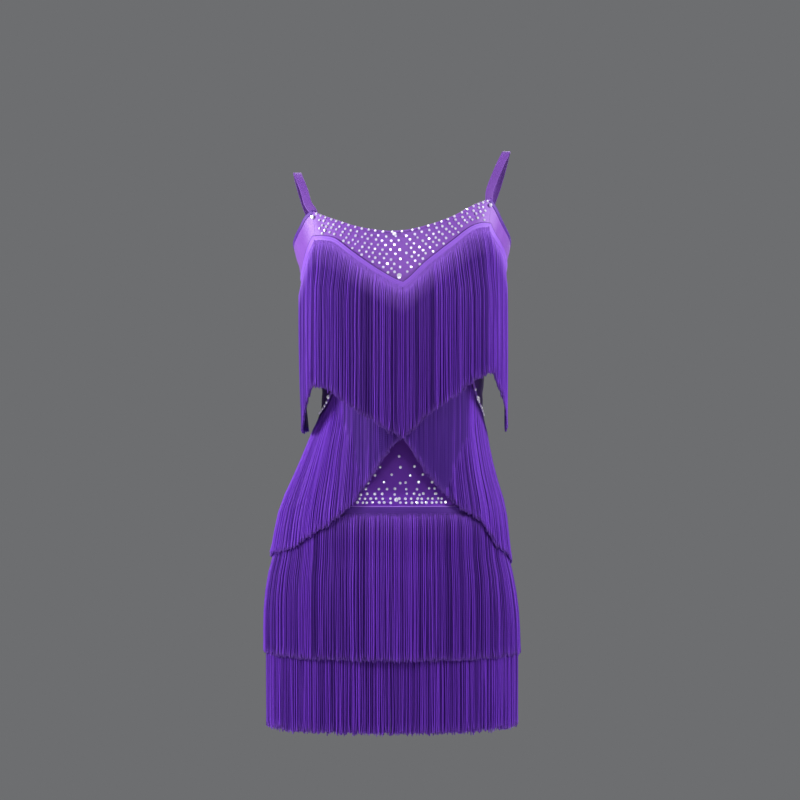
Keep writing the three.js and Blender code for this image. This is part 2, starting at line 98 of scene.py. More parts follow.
# Edges and seams as (turn, level): degrees round the body from the centre front, and height.
NECKLINE = ((-48, -73), (-30, -87), (-16, -97), (-2, -101), (12, -92), (24, -80), (36, -65), (48, -56))
LEFT_ARMHOLE = ((-104, -118), (-88, -114), (-76, -106), (-64, -93), (-56, -79), (-48, -71))
RIGHT_ARMHOLE = ((48, -55), (54, -68), (62, -85), (72, -98), (88, -110), (104, -116))
BACK_EDGE = (
    (104, -116), (123, -118), (142, -128), (161, -150), (180, -160),
    (199, -151), (218, -130), (237, -120), (256, -118),
)
TOP_TAPE_LEFT_SIDE = ((-97, -162), (-83, -156), (-74, -149), (-66, -138), (-57, -120), (-50, -105))
TOP_TAPE_LEFT_V = ((-50, -105), (-42, -105), (-33, -109), (-24, -125), (-13, -145), (0, -167))
TOP_TAPE_RIGHT_V = ((0, -167), (8, -143), (16, -126), (24, -111), (33, -95), (41, -88), (49, -88))
TOP_TAPE_RIGHT_SIDE = ((49, -88), (54, -101), (64, -117), (76, -134), (85, -145), (94, -151))
LEFT_HIP_LINE = (
    (-180, -380), (-150, -364), (-120, -350), (-104, -344), (-88, -335), (-76, -330), (-65, -320),
    (-56, -304), (-45, -286), (-33, -263), (-27, -249), (-19, -229), (-11, -208), (-6, -194), (0, -180),
)
RIGHT_HIP_LINE = (
    (0, -180), (6, -203), (13, -220), (20, -233), (27, -247), (35, -260), (43, -271), (53, -282),
    (58, -298), (64, -314), (76, -328), (88, -337), (104, -344), (120, -350), (150, -364), (180, -380),
)
FRONT_SEAM = 48.0
SIDE_SEAM = 104.0
SEAM_TRIM = 0.06
SEAM_GAP = 0.3
WAIST_SEAM_LEVEL = -235.0
SKIRT_SEAM_LEVEL = -456.0
SKIRT_CLOTH_LEVEL = -662.0
LOWER_TAPE_LEVEL = -550.0


def smooth_table(keys: Array, values: Array, places: Array) -> Array:
    """Reads a table along a smooth curve through its rows, flat beyond its ends.

    Args:
        keys: rising keys of the rows.
        values: the value at each key.
        places: keys to read at.

    Returns:
        The value at each place.
    """
    at = np.clip(places, keys[0], keys[-1])
    left = np.clip(np.searchsorted(keys, at) - 1, 0, len(keys) - 2)
    before = np.maximum(np.arange(len(keys)) - 1, 0)
    after = np.minimum(np.arange(len(keys)) + 1, len(keys) - 1)
    slopes = (values[after] - values[before]) / (keys[after] - keys[before])
    span = keys[left + 1] - keys[left]
    t = (at - keys[left]) / span
    rise = t * t * (3 - 2 * t)
    leaving = t * (1 - t) ** 2 * slopes[left] * span
    arriving = t * t * (t - 1) * slopes[left + 1] * span
    return values[left] * (1 - rise) + values[left + 1] * rise + leaving + arriving


def smooth_step(low: float, high: float, places: Array) -> Array:
    """0 below low, 1 above high, and an easy rise between them."""
    t = np.clip((places - low) / (high - low), 0, 1)
    return t * t * (3 - 2 * t)


def signed_power(value: Array, exponent: Array) -> Array:
    """A power that keeps the sign of its base."""
    return np.sign(value) * np.abs(value) ** exponent


def unit(vectors: Array) -> Array:
    """Vectors of the same direction, one unit long."""
    return vectors / np.linalg.norm(vectors, axis=-1, keepdims=True)


def running_length(points: Array) -> Array:
    """Length along each line of points up to each of its points, from 0."""
    steps = np.linalg.norm(np.diff(points, axis=-2), axis=-1)
    return np.concatenate([np.zeros((*steps.shape[:-1], 1)), np.cumsum(steps, axis=-1)], axis=-1)


def within_half_turn(turn: Array) -> Array:
    """Turns past the centre back, read from the other side."""
    return np.where(turn > 180, turn - 360, turn)


def line_level(*lines: Line) -> LevelOf:
    """A function from turn to level along lines that share their end points."""
    tables = [np.array(line, float).T for line in lines]

    def level(turn: Array) -> Array:
        """Level of the line at each turn."""
        turn = np.asarray(turn, float)
        found = smooth_table(*tables[0], turn)
        for keys, values in tables[1:]:
            found = np.where(turn > keys[0], smooth_table(keys, values, turn), found)
        return found

    return level


def flat_level(level: float) -> LevelOf:
    """A function that gives the same level at every turn."""
    return lambda turn: np.full(np.shape(turn), level, float)


class BodyForm:
    """The surface that every piece is laid out on, read by turn and level."""

    def __init__(self, sections: Sequence[Section]) -> None:
        """Keeps the sections as arrays by rising level."""
        self.levels = np.array([section.level for section in sections], float)
        names = ("centre", "half_width", "front", "back", "power")
        self.columns = {name: np.array([getattr(s, name) for s in sections], float) for name in names}

    def read(self, level: Array) -> dict[str, Array]:
        """Section sizes at each level."""
        level = np.asarray(level, float)
        return {name: smooth_table(self.levels, column, level) for name, column in self.columns.items()}

    def point(self, turn: Array, level: Array) -> Array:
        """Points of the surface, in millimetres."""
        section = self.read(level)
        angle = np.radians(turn)
        across = signed_power(np.sin(angle), 2 / section["power"])
        ahead = signed_power(np.cos(angle), 2 / section["power"])
        depth = np.where(ahead > 0, section["front"], section["back"])
        x = section["centre"] + section["half_width"] * across
        return np.stack([x, -depth * ahead, np.broadcast_to(level, x.shape)], axis=-1)

    def directions(self, turn: Array, level: Array) -> tuple[Array, Array, Array]:
        """Surface directions per degree and per millimetre of level, and the outward normal."""
        half = 0.5
        along_turn = self.point(turn + half, level) - self.point(turn - half, level)
        along_level = self.point(turn, level + half) - self.point(turn, level - half)
        return along_turn, along_level, unit(np.cross(along_turn, along_level))

    def raised(self, turn: Array, level: Array, offset: Array) -> Array:
        """Points moved out from the surface along its normal."""
        normal = self.directions(turn, level)[2]
        return self.point(turn, level) + normal * np.asarray(offset)[..., None]

    def contact(self, place: Array, level: Array, offset: Array) -> tuple[Array, Array]:
        """How points lie against the body grown by an offset.

        Args:
            place: x and y of each point.
            level: level of each point.
            offset: how much the body is grown at each point.

        Returns:
            The outward direction at each point, and how far inside it is.
        """
        section = self.read(level)
        half_width = section["half_width"] + offset
        depth = np.where(place[:, 1] < 0, section["front"], section["back"]) + offset
        across = (place[:, 0] - section["centre"]) / half_width
        ahead = place[:, 1] / depth
        power = section["power"]
        value = np.abs(across) ** power + np.abs(ahead) ** power - 1
        slope = np.stack([signed_power(across, power - 1) * power / half_width,
                          signed_power(ahead, power - 1) * power / depth], axis=-1)
        steepness = np.maximum(np.linalg.norm(slope, axis=-1), 1e-6)
        return slope / steepness[:, None], -value / steepness


FORM = BodyForm(BODY_SECTIONS)


def shifted(turn: Array, level: Array, distance: float, ring: bool = False) -> tuple[Array, Array]:
    """Moves a line of places sideways over the surface, with mitred corners.

    Args:
        turn: turn of each place, rising.
        level: level of each place.
        distance: how far, positive upwards, in millimetres.
        ring: whether the line closes on itself at one level.

    Returns:
        The turns and levels of the moved places.
    """
    along_turn, along_level, _ = FORM.directions(turn, level)
    scale = np.stack([np.linalg.norm(along_turn, axis=-1), np.linalg.norm(along_level, axis=-1)], axis=-1)
    if ring:
        return turn, level + distance / scale[:, 1]
    step = np.stack([np.diff(turn), np.diff(level)], axis=-1)

    def side(steps: Array, scales: Array) -> Array:
        """Unit direction to the left of each step, in millimetres of surface."""
        forward = unit(steps * scales)
        return np.stack([-forward[:, 1], forward[:, 0]], axis=-1)

    before = np.concatenate([side(step[:1], scale[:1]), side(step, scale[1:])])
    after = np.concatenate([side(step, scale[:-1]), side(step[-1:], scale[-1:])])
    mitre = unit(before + after)
    reach = distance / (mitre * before).sum(-1)
    return turn + mitre[:, 0] * reach / scale[:, 0], level + mitre[:, 1] * reach / scale[:, 1]


# ---- meshes ---------------------------------------------------------------------------------------------


def select_only(piece: bpy.types.Object) -> None:
    """Deselects everything, then selects a piece and makes it active."""
    bpy.ops.object.select_all(action="DESELECT")
    piece.select_set(True)
    bpy.context.view_layer.objects.active = piece


def apply_modifiers(piece: bpy.types.Object) -> None:
    """Applies every modifier of a piece in order."""
    select_only(piece)
    for modifier in list(piece.modifiers):
        bpy.ops.object.modifier_apply(modifier=modifier.name)


def new_piece(name: str, points: Array, faces: Union[Array, list], smooth: bool = True) -> bpy.types.Object:
    """Makes a mesh object from points in millimetres.

    Args:
        name: name of the piece.
        points: points, one row each.
        faces: rows of point numbers, all of one length as an array, or a list of any lengths.
        smooth: whether faces are shaded smooth.

    Returns:
        The new object, with its place in its mesh.
    """
    mesh = bpy.data.meshes.new(name)
    mesh.from_pydata((points * MM).tolist(), [], faces.tolist() if isinstance(faces, np.ndarray) else faces)
    mesh.polygons.foreach_set("use_smooth", np.full(len(mesh.polygons), smooth))
    piece = bpy.data.objects.new(name, mesh)
    bpy.context.scene.collection.objects.link(piece)
    return piece


def write_uv(piece: bpy.types.Object, uv: Array) -> None:
    """Gives a piece a UV map from one pair of values for each point, or each face corner."""
    mesh = piece.data
    if len(uv) == len(mesh.vertices):
        corner_points = np.zeros(len(mesh.loops), np.int32)
        mesh.loops.foreach_get("vertex_index", corner_points)
        uv = uv[corner_points]
    layer = mesh.uv_layers.new(name=UV_NAME)
    layer.data.foreach_set("uv", np.ascontiguousarray(uv, np.float32).ravel())


def write_tone(piece: bpy.types.Object, name: str, values: Array) -> None:
    """Stores one number for each point under a name that a material reads."""
    attribute = piece.data.attributes.new(name, "FLOAT", "POINT")
    attribute.data.foreach_set("value", np.ascontiguousarray(values, np.float32))


def grid_faces(columns: int, rows: int) -> Array:
    """Faces of a grid of points stored column by column, rows downwards, facing out for a rising turn."""
    column, row = np.meshgrid(np.arange(columns - 1), np.arange(rows - 1), indexing="ij")
    here = column * rows + row
    return np.stack([here, here + 1, here + rows + 1, here + rows], axis=-1).reshape(-1, 4)


# ---- shader arithmetic ----------------------------------------------------------------------------------

Value = Union["Shade", float, tuple]


class Shade:
    """A shader socket that takes part in arithmetic; each operation adds one node."""

    def __init__(self, book: "MaterialBook", socket: bpy.types.NodeSocket) -> None:
        """Wraps an output socket of the book's material."""
        self.book = book
        self.socket = socket

    def _math(self, operation: str, first: Value, second: Value) -> "Shade":
        """Adds a Math node for two values."""
        return self.book.node("ShaderNodeMath", {"operation": operation}, {0: first, 1: second})

    def __add__(self, other: Value) -> "Shade":
        """Sum."""
        return self._math("ADD", self, other)

    def __radd__(self, other: Value) -> "Shade":
        """Sum, reflected."""
        return self._math("ADD", other, self)

    def __mul__(self, other: Value) -> "Shade":
        """Product."""
        return self._math("MULTIPLY", self, other)

    def __rmul__(self, other: Value) -> "Shade":
        """Product, reflected."""
        return self._math("MULTIPLY", other, self)

    def __truediv__(self, other: Value) -> "Shade":
        """Quotient."""
        return self._math("DIVIDE", self, other)

    def sine(self) -> "Shade":
        """Sine of the value, in radians."""
        return self._math("SINE", self, 0.0)

    def above(self, edge: Value) -> "Shade":
        """1 where the value is above an edge, else 0."""
        return self._math("GREATER_THAN", self, edge)


class MaterialBook:
    """One procedural material being written."""

    def __init__(self, name: str) -> None:
        """Makes an empty material with a Principled shader."""
        self.material = bpy.data.materials.new(name)
        self.material.use_nodes = True
        self.tree = self.material.node_tree
        self.shader = self.tree.nodes["Principled BSDF"]

    def node(self, kind: str, settings: Optional[dict] = None, inputs: Optional[dict] = None,
             output: Union[int, str] = 0) -> Shade:
        """Adds a node.

        Args:
            kind: the node's type.
            settings: its settings, set first.
            inputs: values or shades for its sockets, by name or number.
            output: the output to give back.

        Returns:
            The chosen output as a shade.
        """
        node = self.tree.nodes.new(kind)
        for name, value in (settings or {}).items():
            setattr(node, name, value)
        for name, value in (inputs or {}).items():
            self.feed(node.inputs[name], value)
        return Shade(self, node.outputs[output])

    def feed(self, socket: bpy.types.NodeSocket, value: Value) -> None:
        """Links a shade to a socket, or sets a plain value on it."""
        if isinstance(value, Shade):
            self.tree.links.new(value.socket, socket)
        elif isinstance(value, tuple) and socket.type == "RGBA" and len(value) == 3:
            socket.default_value = (*value, 1.0)
        else:
            socket.default_value = value

    def principled(self, **sockets: Value) -> None:
        """Feeds the shader's sockets; an underscore in a name stands for a space."""
        for name, value in sockets.items():
            self.feed(self.shader.inputs[name.replace("_", " ")], value)

    def cloth_place(self) -> tuple[Shade, Shade]:
        """The two values of the piece's own UV map."""
        place = self.node("ShaderNodeUVMap", {"uv_map": UV_NAME})
        first = self.node("ShaderNodeSeparateXYZ", inputs={0: place})
        return first, Shade(self, first.socket.node.outputs[1])

    def attribute(self, name: str) -> Shade:
        """A number that is stored on the points of the mesh."""
        return self.node("ShaderNodeAttribute", {"attribute_name": name}, output="Fac")

    def noise(self, scale: float, detail: float) -> Shade:
        """Smooth noise from 0 to 1 on object coordinates."""
        where = self.node("ShaderNodeTexCoord", output="Object")
        return self.node("ShaderNodeTexNoise", inputs={"Vector": where, "Scale": scale, "Detail": detail})

    def mix(self, factor: Value, first: Value, second: Value) -> Shade:
        """Mixes two colours."""
        return self.node("ShaderNodeMix", {"data_type": "RGBA"}, {0: factor, 6: first, 7: second}, output=2)

    def bump(self, height: Shade, distance: float) -> Shade:
        """A normal from a height from 0 to 1, worth a distance in metres."""
        return self.node("ShaderNodeBump", inputs={"Height": height, "Distance": distance, "Strength": 1.0})


# ---- finishes -------------------------------------------------------------------------------------------


class Weave(Enum):
    """Small texture of a cloth; each value is its depth in metres."""

    SATIN = 0.00006
    JERSEY = 0.00012
    HEADER = 0.0003
    RIBBED = 0.00025


@dataclass(frozen=True)
class ClothFinish:
    """A cloth's colours, gloss and small texture."""

    name: str
    slot: str
    light: Colour
    dark: Colour
    roughness: float
    sheen: float
    weave: Weave
    edge: Optional[Colour] = None
    edge_mm: float = 0.0

    def height(self, book: MaterialBook) -> Shade:
        """Height of the weave, from 0 to 1, on the piece's own UV map in millimetres."""
        across, along = book.cloth_place()
        tau = 2 * math.pi
        if self.weave is Weave.SATIN:
            floats = ((across * 0.55 + along * 1.1) * tau).sine() * 0.25
            return floats + (along * (tau / 0.5)).sine() * 0.25 + 0.5
        if self.weave is Weave.JERSEY:
            wales = (across * (tau / 0.9)).sine()
            courses = (along * (tau / 0.7)).sine()
            return wales * courses * 0.35 + 0.5
        if self.weave is Weave.HEADER:
            chains = (across * (tau / 2.2)).sine() * 0.3
            rows = (along * (tau / 2.6)).sine() * 0.3
            return chains * rows * 1.6 + rows + 0.5
        ribs = (along * (tau / 1.5)).sine() * 0.35
        return ribs + (across * (tau / 1.1)).sine() * 0.12 + 0.5

    def material(self) -> bpy.types.Material:
        """Writes the finish's material."""
        book = MaterialBook(self.name)
        blotch = book.noise(24.0, 3.0)
        fine = book.noise(900.0, 1.0)
        height = self.height(book)
        shade = blotch * 0.6 + height * 0.25 + fine * 0.15
        colour = book.mix(shade, self.dark, self.light)
        # A line of another colour along the band's upper edge: a painted shadow on the top tape, a paler
        # strip on the skirt tapes.
        if self.edge is not None:
            colour = book.mix(book.cloth_place()[1].above(self.edge_mm), self.edge, colour)
        book.principled(
            Base_Color=colour,
            Roughness=blotch * 0.16 + (self.roughness - 0.08),
            Sheen_Weight=self.sheen,
            Sheen_Roughness=0.35,
            Sheen_Tint=(0.72, 0.52, 1.0),
            Specular_IOR_Level=0.32,
            Specular_Tint=(0.80, 0.60, 1.0),
            Normal=book.bump(height * 0.8 + fine * 0.2, self.weave.value),
        )
        return book.material


@dataclass(frozen=True)
class StrandFinish:
    """Colours and gloss of twisted fringe strands."""

    name: str
    slot: str
    light: Colour
    dark: Colour
    # Colour of the paler cut ends, also used for the painted highlight near the roots.
    tip: Colour
    roughness: float
    twist_mm: float = 2.4

    def material(self) -> bpy.types.Material:
        """Writes the strands' material: a tone for each strand that holds painted light and shade, a twist
        also painted into the colour as light and shade on its ridges, paler cut ends and a painted highlight
        at the roots.
        """
        book = MaterialBook(self.name)
        around, along = book.cloth_place()
        tone, tip = book.attribute(TONE_NAME), book.attribute(TIP_AND_ROOT_HIGHLIGHT_NAME)
        twist = ((around * 2 + along / self.twist_mm) * (2 * math.pi)).sine() * 0.5 + 0.5
        # The twist also goes into the colour: painted light and shade along its ridges.
        shade = tone * 0.72 + twist * 0.28
        body_colour = book.mix(shade, self.dark, self.light)
        book.principled(
            Base_Color=book.mix(tip, body_colour, self.tip),
            Roughness=(tone * -0.34 + 0.34) + twist * 0.1 + self.roughness,
            Specular_IOR_Level=0.3,
            Specular_Tint=(0.50, 0.22, 1.0),
            Normal=book.bump(twist, 0.00016),
        )
        return book.material


@dataclass(frozen=True)
class StoneFinish:
    """Foil-backed clear glass, faceted."""

    name: str = "rhinestone"
    slot: str = "rhinestone"
    clear: Colour = (0.76, 0.74, 0.86)
    tint: Colour = (0.60, 0.52, 0.80)

    def material(self) -> bpy.types.Material:
        """Writes the stones' material: bright foil seen through glass with a faint glow as painted sparkle,
        a little different in each stone.
        """
        book = MaterialBook(self.name)
        tone = book.attribute(TONE_NAME)
        fleck = book.noise(1400.0, 1.0)
        book.principled(
            Base_Color=book.mix(tone * 0.5 + fleck * 0.3, self.clear, self.tint),
            Metallic=0.35,
            Roughness=fleck * 0.1 + 0.08,
            Coat_Weight=1.0,
            Coat_Roughness=0.03,
            # Emission: a faint glow as painted sparkle.
            Emission_Color=book.mix(tone, (1.0, 0.98, 1.0), (0.72, 0.64, 0.90)),
            Emission_Strength=0.18,
        )
        return book.material


def studio_paper(colour: Colour = (0.62, 0.62, 0.63)) -> bpy.types.Material:
    """Writes the material of the studio's matt floor, with a faint mottle."""
    book = MaterialBook("studio_paper")
    paler = tuple(channel * 1.03 for channel in colour)
    book.principled(Base_Color=book.mix(book.noise(3.0, 2.0), colour, paler), Roughness=0.9)
    return book.material


SATIN = ClothFinish("satin", "satin", (0.255, 0.092, 0.51), (0.172, 0.058, 0.365), 0.38, 0.25, Weave.SATIN)
# Darker stretch cloth at the waist sides; its colour is partly painted shade from the fringe above.
DARK_AND_SHADED_WAIST_CLOTH = ClothFinish("waist_cloth", "waist_cloth", (0.085, 0.03, 0.22), (0.055, 0.018, 0.15), 0.6, 0.1,
                          Weave.JERSEY)
BELLY_CLOTH = ClothFinish("belly_cloth", "belly_cloth", (0.18, 0.038, 0.50), (0.13, 0.027, 0.38), 0.55, 0.05,
                          Weave.JERSEY)
BINDING = ClothFinish("binding", "binding", (0.105, 0.028, 0.32), (0.065, 0.016, 0.21), 0.5, 0.08,
                      Weave.SATIN)
# Dark line along the tape's upper edge: painted shadow of the seam.
TAPE = ClothFinish("tape", "tape", (0.30, 0.115, 0.70), (0.20, 0.07, 0.51), 0.45, 0.2, Weave.HEADER,
                   edge=(0.045, 0.012, 0.13), edge_mm=-3.1)
# A much darker copy of the tape: painted shade under the fringe above it, with a paler strip along its upper
# edge.
SHADED_SKIRT_TAPE = ClothFinish("shaded_skirt_tape", "tape", (0.085, 0.022, 0.27), (0.05, 0.012, 0.18), 0.5, 0.1,
                         Weave.HEADER, edge=(0.30, 0.14, 0.60), edge_mm=-4.2)
ELASTIC = ClothFinish("elastic", "elastic", (0.195, 0.068, 0.40), (0.12, 0.04, 0.28), 0.55, 0.15,
                      Weave.RIBBED)
FRINGE = StrandFinish("fringe", "fringe", (0.19, 0.046, 0.60), (0.009, 0.0018, 0.06), (0.32, 0.135, 0.70),
                      0.22)
STONE = StoneFinish()


Finish = Union[ClothFinish, StrandFinish, StoneFinish]


class Wardrobe:
    """Materials by finish, each written once."""

    def __init__(self) -> None:
        """Starts empty."""
        self.made: dict[str, bpy.types.Material] = {}

    def put_on(self, piece: bpy.types.Object, finish: Finish) -> None:
        """Gives a piece a finish."""
        if finish.name not in self.made:
            self.made[finish.name] = finish.material()
        piece.data.materials.clear()
        piece.data.materials.append(self.made[finish.name])


WARDROBE = Wardrobe()


class NodePiece:
    """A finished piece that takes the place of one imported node."""

    suffix = "piece"

    @property
    def name(self) -> str:
        """Name of the finished piece."""
        return f"{self.node}_{self.suffix}"

    def dress(self, piece: bpy.types.Object) -> None:
        """Gives the piece its finish and its body, and hides the node it stands for."""
        WARDROBE.put_on(piece, self.finish)
        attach(piece, BODY)
        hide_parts(self.node)


# ---- cloth panels ---------------------------------------------------------------------------------------


@dataclass(frozen=True)
class Fold:
    """A soft trough or ridge between two places of a panel; depth is negative for a trough."""

    start_turn: float
    start_level: float
    end_turn: float
    end_level: float
    width: float
    depth: float

    def height(self, turn: Array, level: Array, scale: float) -> Array:
        """Height of the fold at each place, fading at its two ends.

        Args:
            turn: turn of each place.
            level: level of each place.
            scale: millimetres of surface for one degree of turn.

        Returns:
            The height in millimetres.
        """
        start = np.array([self.start_turn * scale, self.start_level])
        run = np.array([self.end_turn * scale, self.end_level]) - start
        length = np.hypot(*run)
        away = np.stack([turn * scale, level], axis=-1) - start
        along = (away @ run) / length**2
        aside = (away @ np.array([-run[1], run[0]])) / length
        fade = smooth_step(-0.15, 0.3, along) * (1 - smooth_step(0.7, 1.15, along))
        return self.depth * fade * np.exp(-((aside / self.width) ** 2))


@dataclass
class ClothPanel(NodePiece):
    """One cut piece of cloth between two turns, laid on the body and sewn to its neighbours."""

    suffix = "cloth"
    node: str
    start: float
    end: float
    top: LevelOf
    bottom: LevelOf
    finish: ClothFinish
    flat: tuple[float, float]
    area: float
    folds: Sequence[tuple[float, ...]] = ()
    thickness: float = 1.2
    spacing: float = 4.5
    hem_mm: float = 0.0
    mm_per_degree: float = 2.3

    def build(self) -> bpy.types.Object:
        """Lays the panel out as a fine grid and gives it its thickness inwards."""
        wide = (self.end - self.start) * self.mm_per_degree
        columns = max(8, round(wide / self.spacing))
        turn = np.linspace(self.start + SEAM_TRIM, self.end - SEAM_TRIM, columns + 1)
        top, bottom = self.top(turn), self.bottom(turn)
        rows = max(4, round(float(np.median(top - bottom)) / self.spacing))
        share = np.linspace(0, 1, rows + 1)
        level = top[:, None] + (bottom - top)[:, None] * share
        turns = np.broadcast_to(turn[:, None], level.shape)
        height = np.zeros(level.shape)
        for fold in self.folds:
            height += Fold(*fold).height(turns, level, self.mm_per_degree)
        height += self.hem_ridge(level, bottom)
        points = FORM.raised(turns, level, height)
        run = running_length(points[:, rows // 2])
        uv = np.stack([np.broadcast_to(run[:, None], level.shape), level], axis=-1)
        piece = new_piece(self.name, points.reshape(-1, 3), grid_faces(columns + 1, rows + 1))
        write_uv(piece, uv.reshape(-1, 2))
        shell = piece.modifiers.new("wall", "SOLIDIFY")
        shell.thickness = self.thickness * MM
        shell.offset = -1.0
        shell.use_rim = True
        apply_modifiers(piece)
        piece.data.set_sharp_from_angle(angle=math.radians(50))
        return piece

    def hem_ridge(self, level: Array, bottom: Array) -> Array:
        """A turned-up hem: the cloth is a little proud up to its stitch line."""
        if self.hem_mm == 0:
            return np.zeros(level.shape)
        above = level - bottom[:, None]
        return 0.5 * (1 - smooth_step(self.hem_mm - 1.5, self.hem_mm + 1.5, above))

    def declare(self, piece: bpy.types.Object, with_pieces: Sequence[bpy.types.Object]) -> None:
        """Dresses the panel."""
        self.dress(piece)


# ---- bands: tapes, bindings and straps ------------------------------------------------------------------


def rounded_profile(width: float, thickness: float) -> Array:
    """A flat band's section with rounded edges, as across and out, from one edge round and back."""
    half, edge = width / 2, min(thickness * 0.5, width * 0.25)
    outer = [(-half, thickness * 0.5), (-half + edge * 0.35, thickness * 0.88), (-half + edge, thickness)]
    middle = [(-half * 0.4, thickness), (half * 0.4, thickness)]
    upper = outer + middle + [(-x, y) for x, y in reversed(outer)]
    lower = [(half - edge * 0.35, thickness * 0.12), (half - edge, 0.0), (-half + edge, 0.0),
             (-half + edge * 0.35, thickness * 0.12)]
    return np.array(upper + lower)


def sweep_band(name: str, middles: Array, across: Array, out: Array, profile: Array,
               ring: bool = False) -> bpy.types.Object:
    """Sweeps a section along a line.

    Args:
        name: name of the piece.
        middles: points of the line, at the band's back.
        across: direction over the band at each point.
        out: direction out of the band at each point.
        profile: the section, as across and out.
        ring: whether the line closes on itself.

    Returns:
        The closed band.
    """
    count, sides = len(middles), len(profile)
    points = middles[:, None] + across[:, None] * profile[None, :, :1] + out[:, None] * profile[None, :, 1:]
    spans = count if ring else count - 1
    step, side = np.meshgrid(np.arange(spans), np.arange(sides), indexing="ij")
    here, ahead, after = step * sides, (step + 1) % count * sides, (side + 1) % sides
    faces = np.stack([here + side, here + after, ahead + after, ahead + side], axis=-1)
    faces = faces.reshape(-1, 4).tolist()
    if not ring:
        faces.append(list(range(sides))[::-1])
        faces.append(list(range((count - 1) * sides, count * sides)))
    piece = new_piece(name, points.reshape(-1, 3), faces)
    uv = np.stack(np.broadcast_arrays(running_length(middles)[:, None], profile[None, :, 0]), axis=-1)
    write_uv(piece, uv.reshape(-1, 2))
    return piece


@dataclass
class SewnBand(NodePiece):
    """A tape or binding sewn flat on the panels, from a line to a width below it."""

    suffix = "band"
    node: str
    turns: tuple[float, ...]
    level: LevelOf
    width: float
    thickness: float
    finish: ClothFinish
    lift: float = 0.15
    ring: bool = False
    spacing_degrees: float = 1.2

    def places(self) -> tuple[Array, Array]:
        """Turns and levels along the band's upper edge, keeping its corners."""
        runs = []
        for start, end in zip(self.turns[:-1], self.turns[1:]):
            steps = max(2, round((end - start) / self.spacing_degrees))
            runs.append(np.linspace(start, end, steps + 1)[:-1])
        if not self.ring:
            runs.append(np.array([self.turns[-1]]))
        turn = np.concatenate(runs)
        return turn, self.level(turn)

    def middle_line(self) -> tuple[Array, Array, Array]:
        """The band's middle points with the directions across and out."""
        turn, level = self.places()
        upper = FORM.raised(turn, level, np.full(turn.shape, self.lift))
        low_turn, low_level = shifted(turn, level, -self.width, self.ring)
        lower = FORM.raised(low_turn, low_level, np.full(turn.shape, self.lift))
        middles = (upper + lower) / 2
        across = (lower - upper) / self.width
        out = FORM.directions((turn + low_turn) / 2, (level + low_level) / 2)[2]
        return middles, across, out

    def build(self) -> bpy.types.Object:
        """Sweeps the band's rounded section along its line."""
        profile = rounded_profile(self.width, self.thickness)
        return sweep_band(self.name, *self.middle_line(), profile, self.ring)


@dataclass
class Strap(NodePiece):
    """A flat elastic over the shoulder, its feet sewn inside the yoke and the back panel."""

    suffix = "elastic"
    node: str
    front_foot: Line
    over_shoulder: tuple[tuple[float, float, float], ...]
    back_foot: Line
    front_twist: float
    back_twist: float
    width: float = 10.5
    thickness: float = 1.3
    foot_depth: float = -2.2
    steps: int = 90
    finish: ClothFinish = ELASTIC

    def line(self) -> Array:
        """Points along the strap's middle, from the front foot to the back one."""
        def feet(rows: Line) -> list:
            """Foot points inside the panel."""
            turn, level = np.array(rows, float).T
            return FORM.raised(turn, level, np.full(turn.shape, self.foot_depth)).tolist()

        points = np.array(feet(self.front_foot) + list(self.over_shoulder) + feet(self.back_foot), float)
        gaps = np.linalg.norm(np.diff(points, axis=0), axis=-1) ** 0.75
        keys = np.concatenate([[0], np.cumsum(gaps)])
        at = np.linspace(0, keys[-1], self.steps + 1)
        return np.stack([smooth_table(keys, points[:, axis], at) for axis in range(3)], axis=-1)

    def build(self) -> bpy.types.Object:
        """Sweeps the elastic over the shoulder, turned to lie flat at both feet."""
        line = self.line()
        tangent = unit(np.gradient(line, axis=0))
        along = np.linspace(0, 1, len(line))
        turned = self.front_twist + (self.back_twist - self.front_twist) * (1 - np.cos(np.pi * along)) / 2
        angle = np.radians(turned)
        across = np.stack([np.cos(angle), np.sin(angle), np.zeros(len(line))], axis=-1)
        across = unit(across - tangent * (tangent * across).sum(-1, keepdims=True))
        out = np.cross(across, tangent)
        profile = rounded_profile(self.width, self.thickness) - np.array([0, self.thickness / 2])
        return sweep_band(self.name, line, -across, out, profile)


# ---- fringe ---------------------------------------------------------------------------------------------


@dataclass(frozen=True)
class Ply:
    """One layer of strands within a run: stand-off, spacing, tone, girth and how loosely it hangs; plies
    nearer the body have a lower tone, painted shade between the strands.
    """

    stand_off: float
    pitch: float
    tone: float
    spread: float
    girth: float = 1.0
    loose: float = 1.0


# Plies nearer the body have a lower tone: painted shade between the strands.
PLIES = (Ply(0.8, 1.2, 0.06, 0.05, 1.45, 0.35), Ply(1.8, 1.75, 0.32, 0.22), Ply(2.7, 2.4, 0.68, 0.3, 0.92))


def quarter_turned(level_vectors: Array) -> Array:
    """Level vectors turned a quarter turn to the left."""
    return np.column_stack([-level_vectors[:, 1], level_vectors[:, 0], np.zeros(len(level_vectors))])


